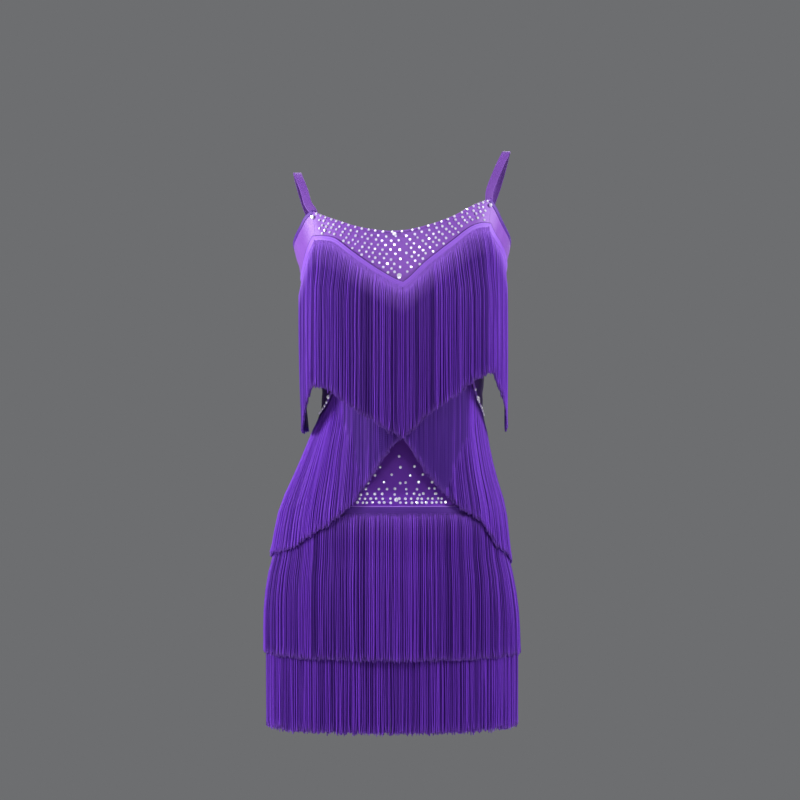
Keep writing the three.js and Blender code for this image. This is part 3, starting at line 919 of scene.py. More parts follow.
@dataclass
class FringeRun(NodePiece):
    """A run of fringe strands hung from the lower edge of a tape."""

    suffix = "strands"
    node: str
    tape: SewnBand
    layer: Line
    drops: Line = ((-180, 190), (180, 190))
    plies: tuple[Ply, ...] = PLIES
    radius: float = 0.74
    sides: int = 5
    seed: int = 1
    clump: tuple[int, int] = (1, 4)
    gather: float = 0.05
    lean: float = 0.5
    uneven: float = 2.0
    wiggle: float = 0.3
    curl: float = 0.6
    bulge: tuple[float, float] = (-0.1, 0.7)
    leaving_mm: float = 16.0
    inward_swing: tuple[float, float] = (0.0, 0.0)
    swing_turns: tuple[float, float] = (66, 92)
    # Painted highlight near the roots: the strands are lightened just below the tape.
    painted_root_highlight: float = 0.12
    past_back: float = 0.0
    # Tone shifts by turn: painted light and shade, lighter where the lamps fall and darker where the run
    # lies in shade.
    painted_light_and_shade: Line = ((-180, -0.06), (-80, -0.2), (0, -0.07), (80, -0.1), (180, -0.06))
    shares: tuple[float, ...] = (0, 0.04, 0.1, 0.2, 0.32, 0.45, 0.58, 0.71, 0.84, 0.93, 0.975, 1.0)
    finish: StrandFinish = FRINGE

    def tape_line(self, below: float) -> tuple[Array, Array]:
        """Turns and levels of the line at a distance below the tape's upper edge, closed on a ring."""
        turn, level = self.tape.places()
        if below:
            turn, level = shifted(turn, level, -below, self.tape.ring)
        if self.tape.ring:
            turn, level = np.append(turn, turn[0] + 360), np.append(level, level[0])
        return turn, level

    def roots(self, count: int, rng: np.random.Generator) -> tuple[Array, Array]:
        """Turns and levels of the strands' roots, evenly set along the tape with a small scatter."""
        turn, level = self.tape_line(self.tape.width - 1.2)
        if self.past_back < 0:
            turn, level = np.append(turn[0] + self.past_back, turn), np.append(level[0], level)
        elif self.past_back > 0:
            turn, level = np.append(turn, turn[-1] + self.past_back), np.append(level, level[-1])
        run = running_length(FORM.point(turn, level))
        at = (np.arange(count) + 0.5 + rng.uniform(-0.3, 0.3, count)) / count * run[-1]
        return np.interp(at, run, turn), np.interp(at, run, level)

    def hang(self, turn: Array, level: Array, length: Array, ply: float) -> Array:
        """Drops strands down the body: plumb where they hang free, pushed out where they meet it.

        Args:
            turn: turn of each root.
            level: level of each root.
            length: length of each strand.
            ply: how far this ply stands off the layer.

        Returns:
            Points of each strand at the shares of its length.
        """
        step = 2.0
        steps = math.ceil(float(length.max()) / step) + 2
        layer_levels, layer_offsets = np.array(self.layer, float)[::-1].T
        place = FORM.point(turn, level)[:, :2]
        root_offset = self.tape.lift + self.tape.thickness / 2

        def push(levels: Array, fallen: float, both_ways: bool) -> None:
            """Moves places out of the body grown by the strand's stand-off."""
            wanted = np.interp(levels, layer_levels, layer_offsets) + ply
            leaving = smooth_step(0, self.leaving_mm, np.full(levels.shape, fallen))
            offset = root_offset + (wanted - root_offset) * leaving
            for _ in range(3):
                outward, inside = FORM.contact(place, levels, offset)
                place[:] += outward * (inside if both_ways else np.maximum(inside, 0))[:, None]

        push(level, 0.0, True)
        track = [np.column_stack([place, level])]
        for index in range(1, steps):
            levels = level - step * index
            push(levels, step * index, False)
            track.append(np.column_stack([place, levels]))
        track = np.stack(track, axis=1)
        runs = running_length(track)
        wanted = length[:, None] * np.array(self.shares)
        found = np.empty((len(turn), len(self.shares), 3))
        for strand in range(len(turn)):
            for axis in range(3):
                found[strand, :, axis] = np.interp(wanted[strand], runs[strand], track[strand, :, axis])
        return found

    def clumps(self, count: int, rng: np.random.Generator) -> tuple[Array, Array]:
        """Groups neighbouring strands.

        Args:
            count: number of strands.
            rng: source of the sizes.

        Returns:
            The clump number of each strand, and its place from -1 to 1 in its clump.
        """
        number, place = np.zeros(count, int), np.zeros(count)
        start, index = 0, 0
        while start < count:
            size = int(rng.integers(self.clump[0], self.clump[1] + 1))
            end = min(count, start + size)
            number[start:end] = index
            place[start:end] = np.linspace(-1, 1, end - start) if end - start > 1 else 0
            start, index = end, index + 1
        return number, place

    def ply_points(self, ply: Ply, rng: np.random.Generator) -> tuple[Array, Array, Array, Array]:
        """One ply of strands.

        Args:
            ply: its stand-off, spacing and tone.
            rng: source of its unevenness.

        Returns:
            The middle points, the outward directions, the tone with its painted light and shade, and the
            girth of each strand.
        """
        count = round(running_length(FORM.point(*self.tape_line(0.0)))[-1] / ply.pitch)
        turn, level = self.roots(count, rng)
        number, in_clump = self.clumps(count, rng)
        groups = number.max() + 1
        keys, values = np.array(self.drops, float).T
        length = smooth_table(keys, values, within_half_turn(turn))
        length += rng.normal(0, self.uneven, groups)[number] * 0.6 + rng.normal(0, self.uneven * 0.6, count)
        points = self.hang(turn, level, length, ply.stand_off)
        outward = FORM.contact(points[:, -1, :2], points[:, -1, 2], np.zeros(count))[0]
        outward = np.column_stack([outward, np.zeros(count)])
        sideways = quarter_turned(outward)
        shares = np.array(self.shares)
        ramp = smooth_step(0.0, 0.6, shares)
        spread = (self.clump[0] + self.clump[1]) / 2 * ply.pitch * 0.5
        pull = -in_clump * spread * self.gather * rng.uniform(0.3, 1.6, groups)[number]
        group_lean = rng.normal(0, self.lean, groups)[number]
        own_lean = rng.normal(0, self.lean * 0.7, count)
        wave = rng.uniform(0.8, 2.0, count)[:, None] * shares + rng.uniform(0, 1, count)[:, None]
        wiggle = self.wiggle * np.sin(2 * np.pi * wave) * ramp
        curl = rng.normal(0, self.curl, count)[:, None] * smooth_step(0.93, 1.0, shares)
        aside = pull[:, None] * ramp + (group_lean + own_lean)[:, None] * shares**2 + wiggle + curl
        aside *= ply.loose
        bulge = rng.uniform(*self.bulge, groups)[number][:, None] * np.sin(np.pi * np.minimum(shares, 0.97))
        lift = bulge + np.abs(curl) * 0.5
        swing = np.where(turn < 0, *self.inward_swing) * smooth_step(*self.swing_turns, np.abs(turn))
        lift = lift - swing[:, None] * shares**3
        points += sideways[:, None] * aside[..., None] + outward[:, None] * lift[..., None]
        # Tone: random per strand and clump, lower on inner plies as painted shade, then shifted by turn as
        # painted light and shade.
        tone_with_ply_shade = ply.tone + rng.normal(0, ply.spread, count) + rng.normal(0, 0.06, groups)[number]
        places, painted_shifts = np.array(self.painted_light_and_shade, float).T
        painted_shift = smooth_table(places, painted_shifts, within_half_turn(turn))
        tone = np.clip(tone_with_ply_shade + painted_shift * min(1.0, ply.tone * 2 + 0.2), 0, 1)
        return points, outward, tone, np.full(count, ply.girth)

    def build(self) -> bpy.types.Object:
        """Makes every strand as a thin tube and joins them in one mesh."""
        rng = np.random.default_rng(self.seed)
        plies = [self.ply_points(ply, rng) for ply in self.plies]
        middles, outward, tone, girth = (np.concatenate(part) for part in zip(*plies))
        radii = self.radius * girth * rng.uniform(0.82, 1.15, len(girth))
        return self.tubes(middles, outward, tone, radii, rng)

    def tubes(self, middles: Array, outward: Array, tone: Array, radii: Array,
              rng: np.random.Generator) -> bpy.types.Object:
        """Turns strand lines into closed tubes with a UV map in turns and millimetres."""
        strands, rings, _ = middles.shape
        sides = self.sides
        sideways = quarter_turned(outward)
        start = rng.uniform(0, 2 * np.pi, strands)
        angle = start[:, None] + np.arange(sides) * (2 * np.pi / sides)
        rim = (np.cos(angle)[..., None] * sideways[:, None] + np.sin(angle)[..., None] * outward[:, None])
        radius = radii[:, None] * np.ones(rings)
        radius[:, -1] *= 0.75
        points = middles[:, :, None] + rim[:, None] * radius[:, :, None, None]
        base = np.arange(strands)[:, None, None] * rings * sides
        ring = np.arange(rings - 1)[None, :, None] * sides
        side = np.arange(sides)[None, None]
        after = (side + 1) % sides
        quads = np.stack(np.broadcast_arrays(base + ring + side, base + ring + sides + side,
                                             base + ring + sides + after, base + ring + after), axis=-1)
        quads = quads.reshape(-1, 4)
        first = np.arange(strands)[:, None] * rings * sides
        top_cap = first + np.arange(sides)
        end_cap = first + (rings - 1) * sides + np.arange(sides)[::-1]
        faces = quads.tolist() + top_cap.tolist() + end_cap.tolist()
        piece = new_piece(self.name, points.reshape(-1, 3), faces)
        self.write_maps(piece, middles, tone)
        return piece

    def write_maps(self, piece: bpy.types.Object, middles: Array, tone: Array) -> None:
        """Writes how far round and along each strand a corner is, its tone, its paler tip and the painted
        highlight near its root.
        """
        strands, rings, _ = middles.shape
        sides = self.sides
        run = running_length(middles)
        around = np.array([0, 0, 1, 1])[None, None, None] + np.arange(sides)[None, None, :, None]
        along = np.stack([run[:, :-1], run[:, 1:], run[:, 1:], run[:, :-1]], axis=-1)[:, :, None]
        wall = np.stack(np.broadcast_arrays(around / sides, along), axis=-1).reshape(-1, 2)
        caps = np.zeros((2 * strands * sides, 2))
        write_uv(piece, np.concatenate([wall, caps]))
        shape = (strands, rings, sides)
        write_tone(piece, TONE_NAME, np.broadcast_to(tone[:, None, None], shape).reshape(-1))
        shares = np.array(self.shares)
        # Paler cut ends, and a painted highlight near the roots.
        tip = smooth_step(0.965, 1.0, shares) * 0.3 + (1 - smooth_step(0.02, 0.2, shares)) * self.painted_root_highlight
        write_tone(piece, TIP_AND_ROOT_HIGHLIGHT_NAME, np.broadcast_to(tip[None, :, None], shape).reshape(-1))


# ---- rhinestones ----------------------------------------------------------------------------------------


def model_stone(crown: float = 0.26, table: float = 0.56, girdle: float = 0.12) -> tuple[Array, list]:
    """Models one flat-backed stone, one unit across and facing up.

    The whole cylinder is still selected when it is extruded, so the crown is a second plate and not
    sloped facets joined to the rim, and the mesh is not one closed shell.

    Args:
        crown: height of the sloped facets.
        table: width of the flat top against the whole.
        girdle: height of the upright rim.

    Returns:
        Its points and its faces, in an order that is the same in every run.
    """
    bpy.ops.object.select_all(action="DESELECT")
    bpy.ops.mesh.primitive_cylinder_add(vertices=8, radius=0.5, depth=girdle, location=(0, 0, girdle / 2))
    stone = bpy.context.object
    for face in stone.data.polygons:
        face.select = face.normal.z > 0.9
    bpy.ops.object.mode_set(mode="EDIT")
    bpy.ops.mesh.select_mode(type="FACE")
    bpy.ops.mesh.extrude_region_move(TRANSFORM_OT_translate={"value": (0, 0, crown)})
    bpy.ops.transform.resize(value=(table, table, 1.0))
    bpy.ops.object.mode_set(mode="OBJECT")
    bpy.ops.object.transform_apply(location=True, rotation=True, scale=True)
    mesh = stone.data
    points = np.array([vertex.co[:] for vertex in mesh.vertices])
    order = np.lexsort(np.round(points, 4).T)
    rank = np.argsort(order).tolist()
    faces = []
    for face in mesh.polygons:
        corners = [rank[corner] for corner in face.vertices]
        first = corners.index(min(corners))
        faces.append(corners[first:] + corners[:first])
    bpy.data.objects.remove(stone)
    bpy.data.meshes.remove(mesh)
    return points[order], sorted(faces)


@dataclass
class StoneField:
    """Rhinestones glued to a panel or a tape, one cut copied to every place."""

    name: str
    places: list[Place]
    lift: float
    seed: int
    tilt: float = 0.16

    def build(self) -> bpy.types.Object:
        """Copies the stone to each place, turned at random and a little tilted, and joins the copies."""
        rng = np.random.default_rng(self.seed)
        shape, faces = model_stone()
        turn, level, size = np.array(self.places, float).T
        count = len(turn)
        along_turn, _, normal = FORM.directions(turn, level)
        origin = FORM.raised(turn, level, np.full(count, self.lift))
        normal = unit(normal + rng.normal(0, self.tilt, (count, 3)))
        first = unit(np.cross(normal, np.cross(along_turn, normal)))
        second = np.cross(normal, first)
        spin = rng.uniform(0, 2 * np.pi, count)
        east = first * np.cos(spin)[:, None] + second * np.sin(spin)[:, None]
        north = np.cross(normal, east)
        axes = np.stack([east, north, normal], axis=1)
        points = origin[:, None] + np.einsum("pk,ckx->cpx", shape, axes) * size[:, None, None]
        starts = range(0, count * len(shape), len(shape))
        every = [[corner + start for corner in face] for start in starts for face in faces]
        piece = new_piece(self.name, points.reshape(-1, 3), every, smooth=False)
        write_tone(piece, TONE_NAME, np.repeat(rng.uniform(0, 1, count), len(shape)))
        return piece

    def dress(self, piece: bpy.types.Object) -> None:
        """Gives the stones their finish and their body."""
        WARDROBE.put_on(piece, STONE)
        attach(piece, BODY)


def yoke_stones(rng: np.random.Generator) -> list[Place]:
    """Stones over the yoke: staggered, slightly uneven rows that follow the neckline down to the V."""
    rows, row_gap, first_row, spacing, margin = 11, 5.9, 7.2, 7.9, 2.4
    reach = spacing / ClothPanel.mm_per_degree
    neckline = line_level(NECKLINE)
    places = []
    for row in range(rows):
        turns = np.arange(-47, 47, reach) + (row % 2) * reach / 2
        turns = turns + rng.uniform(-0.13, 0.13, len(turns)) * reach
        levels = neckline(turns) - first_row - row * row_gap + rng.uniform(-0.9, 0.9, len(turns))
        sizes = rng.uniform(3.1, 3.8, len(turns))
        inside = (levels > V_LINE(turns) + margin) & (np.abs(turns) < 45)
        places += list(zip(turns[inside], levels[inside], sizes[inside]))
    return places


def neckline_stones(rng: np.random.Generator) -> list[Place]:
    """A row of stones along the bound neckline."""
    count = 27
    turns = np.linspace(-45.5, 45.5, count) + rng.uniform(-0.4, 0.4, count)
    levels = line_level(NECKLINE)(turns) - NECK_BINDING_WIDTH * 0.45
    return list(zip(turns, levels, rng.uniform(3.1, 3.7, count)))


def belly_stones(rng: np.random.Generator) -> list[Place]:
    """Stones over the belly: two close rows on the skirt's seam and a scatter that thins upwards."""
    apex_level, base_level = -374.0, -454.0
    places = []
    rows = (
        (-451.3, 17), (-446.3, 15), (-440.5, 11), (-433.5, 8),
        (-425.5, 6), (-416.0, 4), (-405.0, 3), (-391.0, 1),
    )
    for level, count in rows:
        share = (apex_level - level) / (apex_level - base_level)
        middle, half = 5.0 * share, 21.5 * share
        turns = middle + np.linspace(-half, half, count) if count > 1 else np.array([middle - 1.0])
        loose = 0.5 if level < -444 else 1.7
        turns = turns + rng.uniform(-loose, loose, count)
        levels = level + rng.uniform(-0.5, 0.5, count) * loose
        places += list(zip(turns, levels, rng.uniform(3.3, 4.0, count)))
    return places


def hip_stones(turns: tuple[float, float], rng: np.random.Generator) -> list[Place]:
    """A line of stones along the middle of a hip tape."""
    count = 9
    at = np.linspace(*turns, count) + rng.uniform(-0.5, 0.5, count)
    levels = hip_line(at) - HIP_TAPE_WIDTH * 0.5
    return list(zip(at, levels, rng.uniform(3.1, 3.9, count)))


# ---- the dress ------------------------------------------------------------------------------------------

V_LINE = line_level(TOP_TAPE_LEFT_V, TOP_TAPE_RIGHT_V)
HIP_LINE_FRONT = line_level(LEFT_HIP_LINE, RIGHT_HIP_LINE)
TOP_TAPE_WIDTH = 8.0
HIP_TAPE_WIDTH = 6.5
SKIRT_TAPE_WIDTH = 10.0
TAPE_THICKNESS = 1.5
NECK_BINDING_WIDTH = 3.0
EDGE_BINDING_WIDTH = 5.0
BINDING_RISE = 0.8
TOP_LAYER = ((-60, 1.0), (-150, 1.2), (-178, 4.6))
HIP_LAYER = ((-170, 0.9), (-430, 1.4), (-466, 5.2), (-540, 6.4), (-560, 9.0))
UPPER_LAYER = ((-456, 0.9), (-525, 1.4), (-556, 5.0), (-650, 4.6))
LOWER_LAYER = ((-550, 0.9), (-760, 0.9))
TOP_DROPS = (
    (-97, 190), (-86, 196), (-76, 202), (-68, 203), (-62, 191), (-48, 191), (0, 193),
    (48, 191), (66, 190), (75, 198), (82, 203), (90, 203), (94, 199),
)
# Painted light and shade by turn: darker in the middle of each run, lighter on the lit sides.
TOP_PAINTED_LIGHT_AND_SHADE = ((-97, -0.24), (-60, -0.24), (0, -0.24), (30, -0.14), (60, 0.04), (97, -0.02))
HIP_PAINTED_LIGHT_AND_SHADE = (
    (-180, 0.04), (-110, 0.12), (-75, 0.42), (-48, 0.36), (-26, -0.2), (0, -0.28), (30, -0.2), (55, 0.04),
    (80, 0.16), (180, 0.04),
)
HIP_DROPS = (
    (-180, 192), (-110, 192), (-90, 195), (-40, 192), (-12, 188), (0, 180),
    (12, 188), (40, 192), (90, 193), (180, 192),
)


def yoke_seam(turn: Array) -> Array:
    """Level of the seam below the yoke, under the middle of the V-shaped tape."""
    return V_LINE(turn) - TOP_TAPE_WIDTH / 2


def hip_line(turn: Array) -> Array:
    """Level of the hip line at each turn from the centre front, past the side on either hand."""
    return HIP_LINE_FRONT(within_half_turn(np.asarray(turn, float)))


class Side(Enum):
    """The two sides, as they lie left and right of the front view."""

    LEFT = -1
    RIGHT = 1

    @property
    def word(self) -> str:
        """Name used in node names."""
        return self.name.lower()

    @property
    def span(self) -> tuple[float, float]:
        """Turns between which the side's panels lie."""
        return (-SIDE_SEAM, -FRONT_SEAM) if self is Side.LEFT else (FRONT_SEAM, SIDE_SEAM)


@dataclass
class Bodice:
    """Yoke, bodice front, side panels, waist pieces and the back, with their bindings."""

    cloth: float = 1.2

    def front_panels(self) -> list[ClothPanel]:
        """The yoke and the bodice front under the top fringe."""
        return [
            ClothPanel(
                "front_yoke", -FRONT_SEAM, FRONT_SEAM, line_level(NECKLINE), yoke_seam, SATIN,
                (0.25, 0.10), 0.011,
                ((-44, -84, -36, -104, 6, -0.5), (40, -70, 32, -92, 6, -0.45)),
                spacing=3.5,
            ),
            ClothPanel(
                "bodice_front", -FRONT_SEAM, FRONT_SEAM,
                lambda turn: yoke_seam(turn) - SEAM_GAP, hip_line, SATIN, (0.26, 0.21), 0.024,
                (
                    (-44, -150, -24, -205, 9, -0.9), (42, -140, 26, -212, 9, -0.8),
                    (-34, -232, 20, -226, 8, -0.9), (38, -240, -6, -250, 8, -0.7),
                ),
            ),
        ]

    def side_panel(self, side: Side) -> ClothPanel:
        """The satin panel under an arm."""
        if side is Side.LEFT:
            folds = (
                (-72, -106, -58, -134, 6, -0.9), (-98, -132, -70, -158, 7, -1.0),
                (-102, -178, -66, -190, 8, -1.1), (-96, -214, -54, -206, 7, -0.9),
            )
            armhole = LEFT_ARMHOLE
        else:
            folds = (
                (62, -94, 54, -120, 6, -0.8), (94, -126, 72, -150, 7, -1.1),
                (102, -170, 62, -184, 8, -1.0), (98, -206, 60, -214, 7, -1.0),
            )
            armhole = RIGHT_ARMHOLE
        return ClothPanel(f"side_panel_{side.word}", *side.span, line_level(armhole),
                          flat_level(WAIST_SEAM_LEVEL), SATIN, (0.13, 0.18), 0.017, folds, spacing=3.5)

    def waist_piece(self, side: Side) -> ClothPanel:
        """The piece at the side of the waist, in a darker cloth whose colour is partly painted shade."""
        if side is Side.LEFT:
            folds = (
                (-102, -258, -64, -266, 6, -1.2), (-98, -284, -58, -276, 7, -1.0),
                (-100, -312, -74, -304, 6, -1.1),
            )
        else:
            folds = (
                (100, -254, 66, -262, 6, -1.1), (102, -280, 62, -270, 7, -1.1),
                (98, -316, 76, -306, 6, -1.0),
            )
        return ClothPanel(f"waist_piece_{side.word}", *side.span, flat_level(WAIST_SEAM_LEVEL - SEAM_GAP),
                          hip_line, DARK_AND_SHADED_WAIST_CLOTH, (0.12, 0.11), 0.009, folds, spacing=3.5)

    def back_panel(self) -> ClothPanel:
        """The back in one piece from its upper edge to the skirt, drawn in at the small of the back."""
        folds = (
            (118, -222, 168, -238, 10, -2.4), (244, -230, 196, -248, 10, -2.6),
            (128, -262, 206, -272, 12, -3.0), (236, -286, 158, -296, 11, -2.6),
            (122, -318, 190, -326, 12, -2.2), (238, -342, 176, -352, 12, -1.9),
            (132, -150, 150, -206, 9, -1.6), (228, -148, 214, -196, 9, -1.8),
            (150, -372, 140, -444, 12, -1.6), (214, -380, 222, -446, 12, -1.8),
        )
        return ClothPanel("back_panel", SIDE_SEAM, 360 - SIDE_SEAM, line_level(BACK_EDGE),
                          flat_level(SKIRT_SEAM_LEVEL), SATIN, (0.40, 0.34), 0.094, folds)

    def bindings(self) -> list[SewnBand]:
        """Folded strips over the neckline, armhole and back edges."""
        edges = (
            ("neckline_binding", NECKLINE, NECK_BINDING_WIDTH, SATIN),
            ("armhole_binding_left", LEFT_ARMHOLE, EDGE_BINDING_WIDTH, BINDING),
            ("armhole_binding_right", RIGHT_ARMHOLE, EDGE_BINDING_WIDTH, BINDING),
            ("back_binding", BACK_EDGE, EDGE_BINDING_WIDTH, BINDING),
        )
        made = []
        for name, line, width, finish in edges:
            edge = line_level(line)
            made.append(SewnBand(
                name, (line[0][0] + SEAM_GAP, line[-1][0] - SEAM_GAP),
                lambda turn, edge=edge: edge(turn) + BINDING_RISE, width + BINDING_RISE,
                self.cloth + 1.3, finish, lift=-self.cloth - 0.8,
            ))
        return made


@dataclass
class Skirt:
    """The belly panel and the plain skirt cloth that the lower runs of fringe hide."""

    hem: float = 12.0

    def panels(self) -> list[ClothPanel]:
        """Belly panel, skirt front and skirt back."""
        belly = ClothPanel(
            "belly_panel", -SIDE_SEAM, SIDE_SEAM, lambda turn: hip_line(turn) - SEAM_GAP,
            flat_level(SKIRT_SEAM_LEVEL), BELLY_CLOTH, (0.46, 0.28), 0.074,
            (
                (-12, -452, 6, -428, 7, -0.8), (26, -450, 14, -420, 7, -0.7),
                (-60, -400, -20, -420, 10, -0.9), (64, -396, 24, -412, 10, -0.9),
                (-90, -380, -70, -440, 10, -1.0), (92, -376, 76, -436, 10, -0.9),
            ),
        )
        top, bottom = flat_level(SKIRT_SEAM_LEVEL - SEAM_GAP), flat_level(SKIRT_CLOTH_LEVEL)
        front = ClothPanel(
            "skirt_front", -SIDE_SEAM, SIDE_SEAM, top, bottom, SATIN, (0.50, 0.21), 0.104,
            (
                (-70, -560, -78, -650, 12, -1.6), (-38, -540, -34, -652, 11, -1.3),
                (-4, -570, 2, -655, 12, -1.2), (30, -545, 36, -650, 10, -1.5),
                (72, -556, 66, -648, 12, -1.4),
            ),
            hem_mm=self.hem,
        )
        back = ClothPanel(
            "skirt_back", SIDE_SEAM, 360 - SIDE_SEAM, top, bottom, SATIN, (0.39, 0.21), 0.080,
            (
                (124, -540, 118, -650, 12, -1.4), (152, -566, 158, -654, 11, -1.6),
                (186, -548, 180, -652, 12, -1.3), (222, -560, 228, -648, 11, -1.5),
            ),
            hem_mm=self.hem,
        )
        return [belly, front, back]


class Trims:
    """Every tape and the run of fringe below it."""

    def top_tape(self) -> SewnBand:
        """The V-shaped tape below the yoke that turns down both sides."""
        level = line_level(TOP_TAPE_LEFT_SIDE, TOP_TAPE_LEFT_V, TOP_TAPE_RIGHT_V, TOP_TAPE_RIGHT_SIDE)
        return SewnBand("tape_top", (-97, -50, 0, 49, 94), level, TOP_TAPE_WIDTH, TAPE_THICKNESS, TAPE)

    def hip_tape(self, side: Side) -> SewnBand:
        """The tape from the centre front round a hip to the centre back."""
        turns = (-179.7, -0.6) if side is Side.LEFT else (0.6, 179.7)
        return SewnBand(f"tape_hip_{side.word}", turns, hip_line, HIP_TAPE_WIDTH, TAPE_THICKNESS, TAPE)

    def shaded_skirt_tape(self, name: str, level: float) -> SewnBand:
        """A tape that closes round the skirt, in a darker copy of the tape finish: painted shade under the
        fringe above it.
        """
        turns, line = (-180, 180), flat_level(level)
        return SewnBand(name, turns, line, SKIRT_TAPE_WIDTH, TAPE_THICKNESS, SHADED_SKIRT_TAPE, ring=True)

    def runs(self) -> list[FringeRun]:
        """The five runs of fringe, each with its tape."""
        made = [FringeRun("fringe_top", self.top_tape(), TOP_LAYER, TOP_DROPS, seed=11,
                          inward_swing=(9.0, 0.0), painted_root_highlight=0.6, painted_light_and_shade=TOP_PAINTED_LIGHT_AND_SHADE)]
        for side in Side:
            made.append(FringeRun(f"fringe_hip_{side.word}", self.hip_tape(side), HIP_LAYER, HIP_DROPS,
                                  seed=23 + side.value, painted_root_highlight=0.1, painted_light_and_shade=HIP_PAINTED_LIGHT_AND_SHADE,
                                  past_back=-1.3 if side is Side.LEFT else 0.9))
        upper = self.shaded_skirt_tape("tape_skirt_upper", SKIRT_SEAM_LEVEL)
        lower = self.shaded_skirt_tape("tape_skirt_lower", LOWER_TAPE_LEVEL)
        made.append(FringeRun("fringe_skirt_upper", upper, UPPER_LAYER, seed=31))
        made.append(FringeRun("fringe_skirt_lower", lower, LOWER_LAYER, seed=37))
        return made


def straps() -> list[Strap]:
    """The two shoulder straps."""
    left = Strap(
        "strap_left",
        ((-48, -86), (-48.6, -73)),
        (
            (-124.5, -55.5, -62), (-130, -39, -44), (-137, -18, -26), (-141, 3, -16.5),
            (-139.5, 28, -27), (-129, 52, -62), (-112, 63.5, -100),
        ),
        ((-142, -130), (-143, -143)), -20, 25,
    )
    right = Strap(
        "strap_right",
        ((47.4, -70), (47.4, -57)),
        (
            (113.5, -54.5, -46), (119.5, -40, -29), (127, -23, -11), (134.5, -7, 5),
            (138, 6, 12), (136, 28, 1), (126, 51, -35), (109, 63, -82),
        ),
        ((142, -128), (143, -141)), 20, -25,
    )
    return [left, right]


class Dress:
    """The whole dress, made in order from the body outwards."""

    def __init__(self) -> None:
        """Starts with no pieces."""
        self.pieces: dict[str, bpy.types.Object] = {}
        self.panels: list[ClothPanel] = []

    def keep(self, piece: bpy.types.Object) -> bpy.types.Object:
        """Remembers and reports a piece."""
        self.pieces[piece.name] = piece
        LOG.info("%s: %d faces", piece.name, len(piece.data.polygons))
        return piece

    def add_cloth(self) -> None:
        """Builds every panel."""
        bodice, skirt = Bodice(), Skirt()
        panels = bodice.front_panels() + [bodice.back_panel()] + skirt.panels()
        for side in Side:
            panels += [bodice.side_panel(side), bodice.waist_piece(side)]
        for panel in panels:
            self.panels.append(panel)
            self.keep(panel.build())

    def add_edges(self) -> None:
        """Builds the bindings and the straps."""
        for band in Bodice().bindings():
            band.dress(self.keep(band.build()))
        for strap in straps():
            strap.dress(self.keep(strap.build()))

    def add_trims(self) -> None:
        """Builds the tapes and the fringe."""
        for run in Trims().runs():
            run.tape.dress(self.keep(run.tape.build()))
            run.dress(self.keep(run.build()))

    def add_stones(self) -> None:
        """Builds the rhinestones on the yoke, the belly, the hip tapes and the strap feet."""
        rng = np.random.default_rng(5)
        tape_top = TAPE_THICKNESS + 0.1
        fields = [
            StoneField("stones_yoke", yoke_stones(rng) + [(-1, -159.5, 6.4)], 0.05, 1, tilt=0.1),
            StoneField("stones_neckline", neckline_stones(rng) + [(-2.4, -105.0, 5.4)], 0.5, 6, tilt=0.1),
            StoneField("stones_belly", belly_stones(rng) + [(1.0, -447.5, 6.0)], 0.05, 2),
            StoneField("stones_hip_left", hip_stones((-84, -52), rng) + [(-61, -315.0, 5.8)], tape_top, 3),
            StoneField("stones_hip_right", hip_stones((55, 86), rng) + [(64, -317.0, 5.8)], tape_top, 4),
            StoneField("stones_strap_feet", [(-48.4, -80.5, 5.8), (47.6, -64.5, 5.8)], 0.9, 5),
        ]
        for stones in fields:
            stones.dress(self.keep(stones.build()))

    def declare(self) -> None:
        """Dresses the panels, passing each the trims sewn to it."""
        sewn_on = {
            "front_yoke": ("neckline_binding_band", "stones_yoke", "stones_neckline", "stones_strap_feet"),
            "bodice_front": ("tape_top_band", "fringe_top_strands"),
            "side_panel_left": ("armhole_binding_left_band", "strap_left_elastic"),
            "side_panel_right": ("armhole_binding_right_band", "strap_right_elastic"),
            "back_panel": ("back_binding_band",),
            "belly_panel": (
                "tape_hip_left_band", "tape_hip_right_band", "fringe_hip_left_strands",
                "fringe_hip_right_strands", "stones_belly", "stones_hip_left", "stones_hip_right",
            ),
            "skirt_front": (
                "tape_skirt_upper_band", "fringe_skirt_upper_strands", "tape_skirt_lower_band",
                "fringe_skirt_lower_strands",
            ),
        }
        for panel in self.panels:
            sewn = [self.pieces[name] for name in sewn_on.get(panel.node, ())]
            panel.declare(self.pieces[panel.name], sewn)


# ---- studio ---------------------------------------------------------------------------------------------


@dataclass
class Lamp:
    """A soft square light aimed at the dress."""

    name: str
    place: tuple[float, float, float]
    size: float
    power: float

    def build(self, target: Vector) -> None:
        """Hangs the lamp and turns it to the target."""
        data = bpy.data.lights.new(self.name, "AREA")
        data.size = self.size
        data.energy = self.power
        data.color = (1.0, 1.0, 1.0)
        lamp = bpy.data.objects.new(self.name, data)
        lamp.location = self.place
        lamp.rotation_euler = (target - Vector(self.place)).to_track_quat("-Z", "Y").to_euler()
        bpy.context.scene.collection.objects.link(lamp)


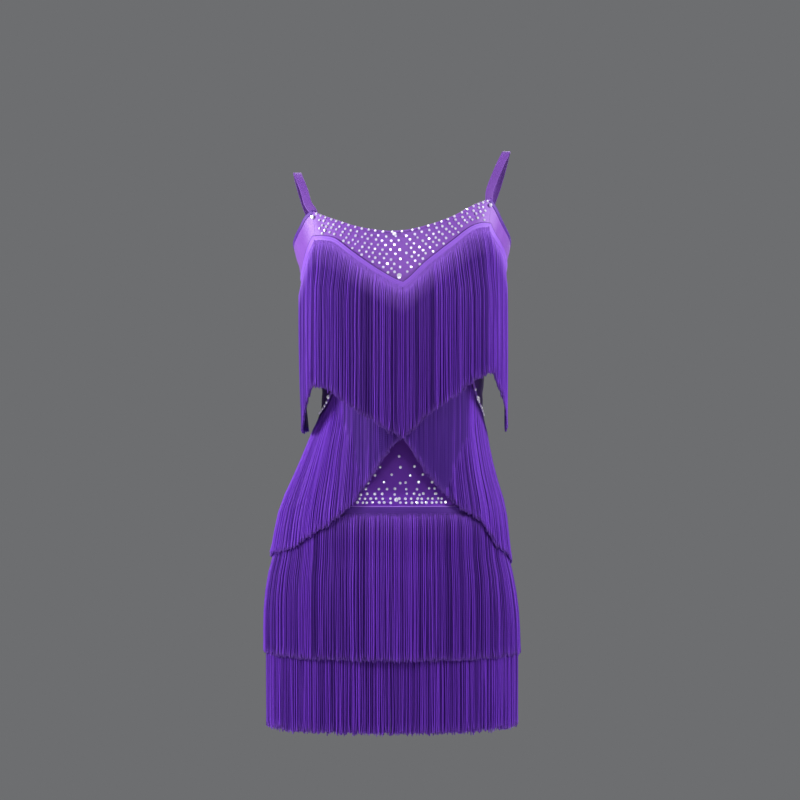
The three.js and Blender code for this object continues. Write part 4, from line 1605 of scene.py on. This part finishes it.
@dataclass
class Studio:
    """Pale floor, soft lamps and a level camera in front of the dress."""

    distance: float = 3.33
    lens: float = 112.5
    aim: tuple[float, float, float] = (-0.004, 0.0, -0.319)
    floor_level: float = -1.42
    floor_radius: float = 3.0
    backdrop: Colour = (0.153, 0.156, 0.162)
    lamps: tuple[Lamp, ...] = (
        Lamp("left_box", (-3.0, -0.5, 0.7), 0.9, 150),
        Lamp("right_box", (3.0, -0.65, 1.1), 0.9, 128),
        Lamp("overhead", (0.0, -2.0, 2.9), 1.4, 22),
        Lamp("front_high", (0.25, -2.7, 1.55), 0.8, 15),
        Lamp("back_box", (0.4, 2.8, 1.2), 2.0, 50),
    )

    def build(self) -> None:
        """Sets the camera, the floor, the lamps and the even light around them."""
        scene = bpy.context.scene
        scene.view_settings.view_transform = "Standard"
        camera_data = bpy.data.cameras.new("front_camera")
        camera_data.lens = self.lens
        camera_data.sensor_width = 36.0
        camera = bpy.data.objects.new("front_camera", camera_data)
        camera.location = (self.aim[0], -self.distance, self.aim[2])
        camera.rotation_euler = (math.radians(90), 0, 0)
        scene.collection.objects.link(camera)
        scene.camera = camera
        for lamp in self.lamps:
            lamp.build(Vector(self.aim))
        self.build_floor()
        self.light_the_air(scene)

    def build_floor(self) -> None:
        """Lays a round pale floor below the dress."""
        bpy.ops.object.select_all(action="DESELECT")
        bpy.ops.mesh.primitive_circle_add(vertices=96, radius=self.floor_radius, fill_type="NGON")
        floor = bpy.context.object
        floor.name = "floor"
        floor.location.z = self.floor_level
        bpy.ops.object.transform_apply(location=True, rotation=True, scale=True)
        floor.data.materials.append(studio_paper())

    def light_the_air(self, scene: bpy.types.Scene) -> None:
        """Gives the surroundings one even grey."""
        world = bpy.data.worlds.new("studio_air")
        world.use_nodes = True
        background = world.node_tree.nodes["Background"]
        background.inputs["Color"].default_value = (*self.backdrop, 1.0)
        background.inputs["Strength"].default_value = 1.0
        scene.world = world


def main() -> None:
    """Builds the studio and the dress in order."""
    logging.basicConfig(level=logging.INFO, format="%(name)s: %(message)s")
    Studio().build()
    dress = Dress()
    dress.add_cloth()
    dress.add_edges()
    dress.add_trims()
    dress.add_stones()
    dress.declare()


if __name__ == "__main__":
    main()
